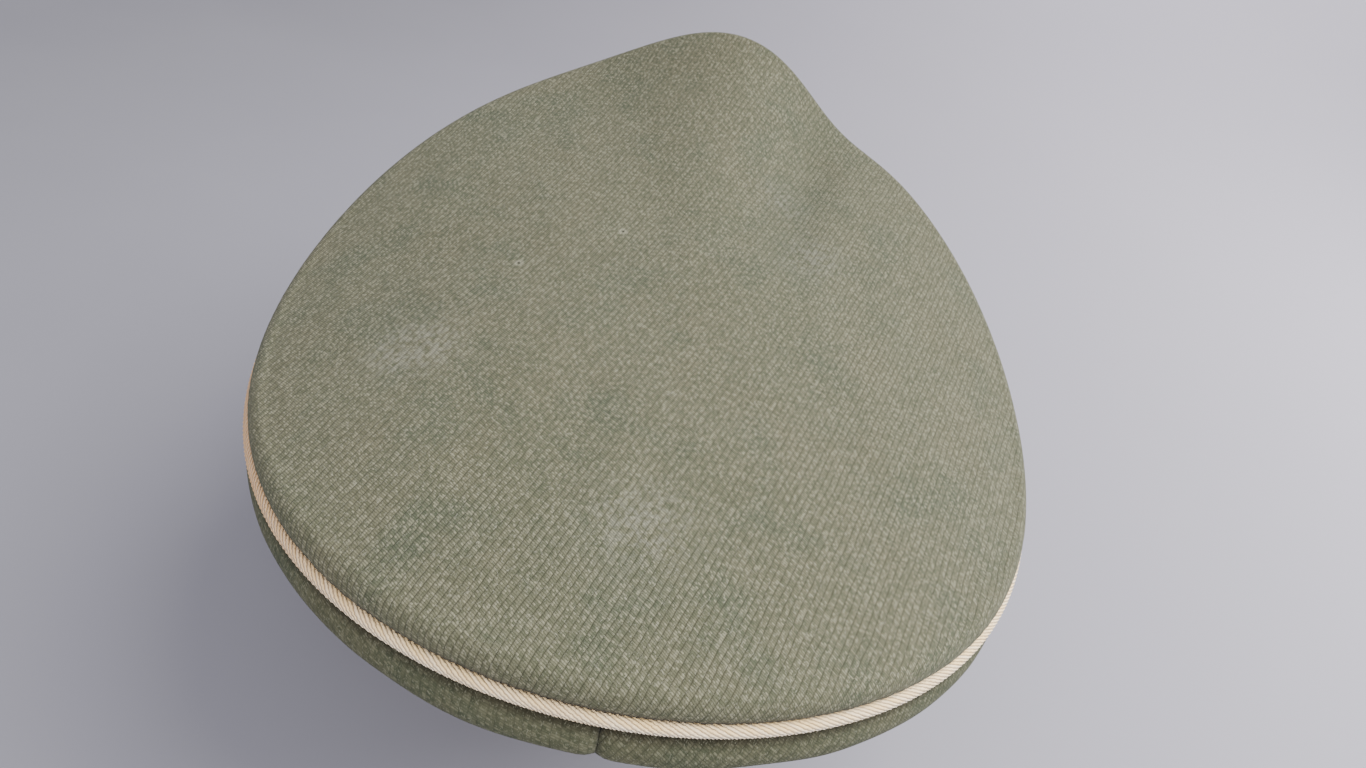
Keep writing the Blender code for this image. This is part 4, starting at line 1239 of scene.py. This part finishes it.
def make_visor():
    """The lacquered shell, its leather lining, and the stitched leather binding round its edge."""
    shell = woven("visor_shell", visor_rows(1, 0, 0, 120, 24), lacquer())
    thicken(shell, VISOR_WALL)
    wear(shell, "cap", "visor_lacquer", "visor")
    lining = woven("visor_lining_leather",
                   visor_rows(0.9, BINDING_WIDTH * 2, VISOR_WALL + 1.5 * GAP, 100, 16), GREEN_LEATHER)
    thicken(lining, VISOR_LINING_WALL)
    wear(lining, "cap", "sweat_leather", "visor_lining")

    play = 2.5 * GAP
    low = -VISOR_WALL - play
    sections, seam = [], []
    for side in visor_sides(BINDING_SHARE, 140):
        edge = visor_point(side, 1)
        along = (visor_point(side + 0.002, 1) - visor_point(side - 0.002, 1)).normalized()
        above = (visor_point(side, 0.95) - edge).cross(along).normalized()
        back = along.cross(above)
        width = min(BINDING_WIDTH, 0.7 * visor_reach(side))
        middle, height = low / 2 + play / 2, (play - low) / 2
        inner = [(width, play), (0.2 * MM, play)]
        inner += [(-GAP * math.cos(a), middle + height * math.sin(a)) for a in spread(1.2, -1.2, 5)]
        inner += [(0.2 * MM, low), (width, low)]
        outer = [(width, low - BINDING_WALL * 0.6), (width - 0.4 * MM, low - BINDING_WALL)]
        outer += [(-(GAP + BINDING_WALL) * math.cos(a) + 0.2 * MM,
                   middle + (height + BINDING_WALL) * math.sin(a)) for a in spread(-1.3, 1.3, 9)]
        outer += [(width - 0.4 * MM, play + BINDING_WALL), (width, play + BINDING_WALL * 0.6)]
        sections.append([edge + back * u + above * v for u, v in inner + outer])
        seam.append(edge + back * (width - 1.1 * MM) + above * (play + BINDING_WALL))
    wear(lofted("visor_binding_leather", sections, BLACK_LEATHER), "cap", "strap_leather",
         "visor_binding")
    row_along("visor_binding_stitches", seam[8:-8], False, 3.0 * MM, 2.2 * MM, 0.55 * MM, DARK_THREAD,
              "cap", "strap_leather")


# ---- Chin strap ---------------------------------------------------------------------------------

STRAP_WIDTH = 14 * MM
STRAP_WALL = 1.2 * MM
STRAP_RISE = 2.25 * MM            # from the lower piping up to the strap
STRAP_LEVEL = BAND_PIPING_INSET + BAND_PIPING_RADIUS + STRAP_RISE + STRAP_WIDTH / 2
STRAP_CLEARANCE = 3.4 * MM
STRAP_ARC = math.radians(50)
STRAP_LAP = math.radians(48)
LAP_END = math.radians(74)
LAP_EASE = math.radians(18)
BUTTON_ANGLE = math.radians(72)
BUTTON_RADIUS = 6 * MM
BUTTON_HEIGHT = 4 * MM
WASHER_RADIUS = 5 * MM
WASHER_WALL = 1.6 * MM
SLIDE_ANGLE = math.radians(40)
SLIDE_LENGTH = 7 * MM
SLIDE_WALL = 1.0 * MM
SLIDE_PLAY = 0.4 * MM
FRONT_RADIUS = (HEAD_WIDTH / 2) ** 2 / (HEAD_LENGTH / 2)
STRAP_CENTRE = Vector((0, FRONT_RADIUS - HEAD_LENGTH / 2))
STRAP_RADIUS = FRONT_RADIUS + BAND_OFFSET + STRAP_CLEARANCE
BUTTON_Y = band_point(math.pi - BUTTON_ANGLE, BAND_OFFSET, STRAP_LEVEL).y
WASHER_FACE = (HEAD_WIDTH / 2 + BAND_OFFSET) * math.sqrt(
    1 - ((BUTTON_Y + WASHER_RADIUS) / (HEAD_LENGTH / 2 + BAND_OFFSET)) ** 2) + GAP
STRAP_FACE = WASHER_FACE + WASHER_WALL + GAP


def strap_line():
    """The strap's inner face in plan, from the +X end round the front to the -X end."""
    start = STRAP_CENTRE + Vector((math.sin(STRAP_ARC), -math.cos(STRAP_ARC))) * STRAP_RADIUS
    heading = Vector((math.cos(STRAP_ARC), math.sin(STRAP_ARC)))
    button = Vector((STRAP_FACE, BUTTON_Y - STRAP_WIDTH / 2))
    pull = (button - start).length / 3
    side = [Vector((button.x, BUTTON_Y + STRAP_WIDTH / 2 - s)) for s in spread(0, STRAP_WIDTH, 25)]
    for share in spread(0, 1, 26)[1:-1]:
        near = 1 - share
        side.append(button * near ** 3 + (button - Vector((0, pull))) * 3 * near ** 2 * share
                    + (start + heading * pull) * 3 * near * share ** 2 + start * share ** 3)
    arc = [STRAP_CENTRE + Vector((math.sin(a), -math.cos(a))) * STRAP_RADIUS
           for a in spread(STRAP_ARC, -STRAP_ARC, 90)]
    return side + arc + [Vector((-p.x, p.y)) for p in reversed(side)]


def strap_outline(half):
    """A strap's cross-section as (out, up) pairs: rounded edges and a creased line along each."""
    soft = min(0.35 * MM, half / 3)
    outer, crease = STRAP_WALL, 0.16 * MM
    half_outline = [(0, 0), (0, half - soft), (0.3 * soft, half - 0.3 * soft), (soft, half),
                    (outer - soft, half), (outer - 0.3 * soft, half - 0.3 * soft), (outer, half - soft)]
    if half > 3 * MM:
        half_outline += [(outer, half - 1.3 * MM), (outer - crease, half - 1.6 * MM),
                         (outer, half - 1.9 * MM)]
    else:
        half_outline += [(outer, half * 0.6), (outer, half * 0.5), (outer, half * 0.4)]
    half_outline.append((outer, 0))
    return half_outline + [(out, -up) for out, up in reversed(half_outline[1:-1])]


def make_strap(name, node, outer):
    """From its own button, round the front, to a rounded free end."""
    line = strap_line()
    if not outer:
        line = [Vector((-p.x, p.y)) for p in line]
    kept = []
    for point in line:
        polar = math.atan2(point.x, STRAP_CENTRE.y - point.y)
        if polar * (1 if outer else -1) > -STRAP_LAP:
            kept.append((point, polar))
    first, last = kept[0][0], kept[-1][0]
    sections = []
    for index, (point, polar) in enumerate(kept):
        along = (kept[min(index + 1, len(kept) - 1)][0] - kept[max(index - 1, 0)][0]).normalized()
        normal = Vector((along.y, -along.x))
        if normal.dot(point - STRAP_CENTRE) < 0:
            normal.negate()
        lift = 0.0
        if outer:
            share = min(max((LAP_END - polar) / LAP_EASE, 0.0), 1.0)
            lift = (STRAP_WALL + GAP) * share * share * (3 - 2 * share)
        half = STRAP_WIDTH / 2
        from_end = half - min((point - first).length, (point - last).length, half)
        half = max(math.sqrt(half ** 2 - from_end ** 2), 0.35 * half)
        sections.append([Vector((*(point + normal * (lift + out)), STRAP_LEVEL + up))
                         for out, up in strap_outline(half)])
    wear(lofted(name, sections, BLACK_LEATHER), "chin_strap", "strap_leather", node)


def make_slide(name, sign, body):
    """A flat metal loop with rounded corners and edges, round both straps."""
    room = (2 * STRAP_WALL + GAP + 2 * SLIDE_PLAY) / 2
    tall = STRAP_WIDTH / 2 + SLIDE_PLAY
    middle = STRAP_RADIUS + STRAP_WALL + GAP / 2
    place = (Matrix.Translation((0, STRAP_CENTRE.y, STRAP_LEVEL))
             @ Matrix.Rotation(SLIDE_ANGLE * sign, 4, "Z") @ Matrix.Translation((0, -middle, 0)))
    soft, half, wall = 0.3 * MM, SLIDE_LENGTH / 2, SLIDE_WALL
    bar = [(-half + soft, 0), (half - soft, 0), (half, soft), (half, wall - soft), (half - soft, wall),
           (half * 0.6, wall), (half * 0.5, wall * 0.8), (-half * 0.5, wall * 0.8), (-half * 0.6, wall),
           (-half + soft, wall), (-half, wall - soft), (-half, soft)]
    sections = []
    for corner_y, corner_z, start in ((room, tall, 0), (-room, tall, 90), (-room, -tall, 180),
                                      (room, -tall, 270)):
        for turn in spread(start, start + 90, 7):
            away = Vector((0, math.cos(math.radians(turn)), math.sin(math.radians(turn))))
            base = Vector((0, corner_y, corner_z))
            sections.append([place @ (base + away * out + Vector((x, 0, 0))) for x, out in bar])
    wear(lofted(name + "_loop", sections, BUTTON_METAL, closed=True), body, "button_metal", name)


def make_button(side, sign):
    """A domed, pebbled button with a rolled rim."""
    place = (Matrix.Translation(((STRAP_FACE + STRAP_WALL + GAP) * sign, BUTTON_Y, STRAP_LEVEL))
             @ Matrix.Rotation(math.pi / 2 * sign, 4, "Y"))
    face = BUTTON_RADIUS * 0.86
    profile = [(face * math.sin(a), BUTTON_HEIGHT * (0.34 + 0.58 * math.cos(a)))
               for a in spread(0.03, math.pi / 2, 12)]
    pebbled = len(profile) - 1
    profile += [(BUTTON_RADIUS * r, BUTTON_HEIGHT * z) for r, z in (
        (0.88, 0.30), (0.91, 0.37), (0.95, 0.40), (0.985, 0.34), (1.0, 0.24), (0.97, 0.10),
        (0.90, 0.0), (0.3, 0.0))]
    body = turned("button_body_" + side, profile, 48, place, BUTTON_METAL)
    inverse = place.inverted()
    limit = profile[pebbled - 1][0]
    local = [inverse @ v.co for v in body.data.vertices]
    store(body, "pebbled", [float(p.z > 0.34 * BUTTON_HEIGHT and p.xy.length < limit) for p in local])
    piece = grown("button_pebbled_" + side, body, PEBBLE_TREE, {
        "Spacing": 0.75 * MM, "Size": 0.42 * MM, "Seed": 3, "Finish": BUTTON_METAL})
    wear(piece, "cap", "button_metal", "button_" + side)


def make_chin_strap():
    make_strap("strap_outer_leather", "strap_outer", True)
    make_strap("strap_inner_leather", "strap_inner", False)
    make_slide("slide_left", 1, "slide_left")
    make_slide("slide_right", -1, "slide_right")
    make_button("left", 1)
    make_button("right", -1)


# ---- Badge --------------------------------------------------------------------------------------

BADGE_RADIUS = 11 * MM
BADGE_HEIGHT = 4 * MM
BADGE_PLACE = 0.52


def make_badge():
    """A plain round boss with a beaded border."""
    centre = side_point(math.pi, BADGE_PLACE)
    inward = (side_inner(math.pi, BADGE_PLACE, MM) - centre).normalized()
    turn = Vector((0, 0, 1)).rotation_difference(-inward).to_matrix().to_4x4()
    place = Matrix.Translation(centre - inward * 2.5 * GAP) @ turn
    shape = ((0.02, 1.0), (0.12, 0.99), (0.24, 0.95), (0.33, 0.86), (0.38, 0.72), (0.42, 0.62),
             (0.46, 0.60), (0.50, 0.64), (0.55, 0.65), (0.60, 0.62), (0.66, 0.56), (0.74, 0.54),
             (0.78, 0.48), (0.82, 0.42), (0.92, 0.40), (0.965, 0.42), (1.0, 0.34), (1.0, 0.12),
             (0.98, 0.0), (0.3, 0.0))
    profile = [(BADGE_RADIUS * r, BADGE_HEIGHT * z) for r, z in shape]
    wear(turned("badge_boss", profile, 96, place, BUTTON_METAL), "cap", "button_metal", "cap_badge")
    beads = [place @ Vector((0.87 * BADGE_RADIUS * math.cos(a), 0.87 * BADGE_RADIUS * math.sin(a),
                             0.42 * BADGE_HEIGHT)) for a in ring(180)]
    row_along("badge_beads", beads, True, 1.35 * MM, 1.1 * MM, 1.1 * MM, BUTTON_METAL, "cap",
              "button_metal")


def finish_hidden_pieces():
    """Steel, fibre, felt and canvas that the finished cap mostly covers."""
    for name in ("crown_wire", "front_spring", "button_pin_left", "button_pin_right",
                 "badge_pin_left", "badge_pin_right"):
        wear_node(name, STEEL)
    for name in ("button_washer_left", "button_washer_right"):
        wear_node(name, WASHER_LEATHER)
    wear_node("band_stiffener", pressed_fibre())
    wear_node("edge_padding", felt())
    wear_node("front_interlining", plain_weave("canvas_buff", tint(196, 180, 146), tint(128, 112, 84),
                                               0.8 * MM))


# ---- Studio -----------------------------------------------------------------------------------

VIEW_TURN = (175.73, 38.76, 14.95)                    # degrees: azimuth, elevation, roll
VIEW_DISTANCE = 322.77 * MM
VIEW_RIGHT, VIEW_DOWN = 3.55 * MM, 20.45 * MM         # the camera's shift across its view
LENS, SENSOR = 23.642, 36
FLOOR_HALF = 40.0


def add_camera():
    """Looks down on the crown from behind, turned a little about its own axis."""
    azimuth, elevation, roll = (math.radians(value) for value in VIEW_TURN)
    back = Vector((math.sin(azimuth) * math.cos(elevation),
                   -math.cos(azimuth) * math.cos(elevation), math.sin(elevation)))
    level = (-back).cross(Vector((0, 0, 1))).normalized()
    upright = level.cross(-back)
    across = level * math.cos(roll) + upright * math.sin(roll)
    upward = upright * math.cos(roll) - level * math.sin(roll)
    data = bpy.data.cameras.new("camera")
    data.lens, data.sensor_width = LENS, SENSOR
    data.clip_start = 0.01
    camera = bpy.data.objects.new("camera", data)
    aim = Vector((0, -CROWN_FORWARD, CROWN_HEIGHT))
    place = aim + back * VIEW_DISTANCE + across * VIEW_RIGHT - upward * VIEW_DOWN
    turn = Matrix((across, upward, back)).transposed().to_4x4()
    camera.matrix_world = Matrix.Translation(place) @ turn
    bpy.context.scene.collection.objects.link(camera)
    bpy.context.scene.camera = camera


def add_light(name, kind, place, size, power, color):
    """A soft light aimed at the origin; size is a sun's angle or a disk's width."""
    data = bpy.data.lights.new(name, kind)
    data.energy, data.color = power, color
    if kind == "SUN":
        data.angle = size
    else:
        data.shape, data.size = "DISK", size
    lamp = bpy.data.objects.new(name, data)
    lamp.location = place
    lamp.rotation_euler = Vector(place).to_track_quat("Z", "Y").to_euler()
    lamp.visible_camera = False
    bpy.context.scene.collection.objects.link(lamp)


def add_studio():
    """A plain pale floor under soft light from the right, painted a little darker on the wearer's left
    as painted shade, with a painted pool of light round the cap.
    """
    add_light("key", "SUN", (-0.85, -0.45, 1.0), math.radians(60), 4.9, (1.0, 0.985, 0.96))
    add_light("near", "AREA", (-0.8, -0.1, 0.6), 0.7, 10, (1.0, 0.98, 0.95))
    add_light("behind", "AREA", (-0.1, 0.9, 0.6), 0.9, 9, (1.0, 0.98, 0.95))
    world = bpy.data.worlds.new("studio")
    world.use_nodes = True
    sky = world.node_tree.nodes["Background"]
    sky.inputs[0].default_value = (0.78, 0.765, 0.84, 1)
    sky.inputs[1].default_value = 1.5
    bpy.context.scene.world = world
    material, t, shader = new_finish("floor_paper", 0.9, specular_ior_level=0.2)
    place = here(t)
    # painted shade: the floor is painted darker towards the wearer's left, standing in for the fall of
    # light across the backdrop
    across = t.smooth(t.split(place)[0], 0.5, -0.9)
    color = t.mix(across, (0.112, 0.112, 0.127, 1), (0.40, 0.385, 0.44, 1))
    # painted light: near the cap the floor is drawn towards a mid tone, a painted pool of light that
    # lifts the cap's shadow
    painted_light_pool = t.smooth(t.vector("LENGTH", place), 0.75, 0.15)
    color = t.stain(color, painted_light_pool, 0.3, (0.25, 0.254, 0.29, 1))
    color = t.stain(color, t.noise(place, 6, 3), 0.06, (0.5, 0.49, 0.53, 1))
    finish_with(t, shader, color, t.noise(place, 900, 2), 0.0001, 0.1)
    low, half = CAD_BOX[0][2], FLOOR_HALF
    corners = [(-half, -half, low), (half, -half, low), (half, half, low), (-half, half, low)]
    mesh_piece("floor", corners, [(0, 1, 2, 3)], material)


# ---- The cap ----------------------------------------------------------------------------------

make_crown_cloth()
for panel in SIDE_PANELS:
    make_side_panel(*panel)
make_crown_piping()
make_band()
make_sweatband()
make_bow()
make_linings()
make_visor()
make_chin_strap()
make_badge()
finish_hidden_pieces()
add_camera()
add_studio()
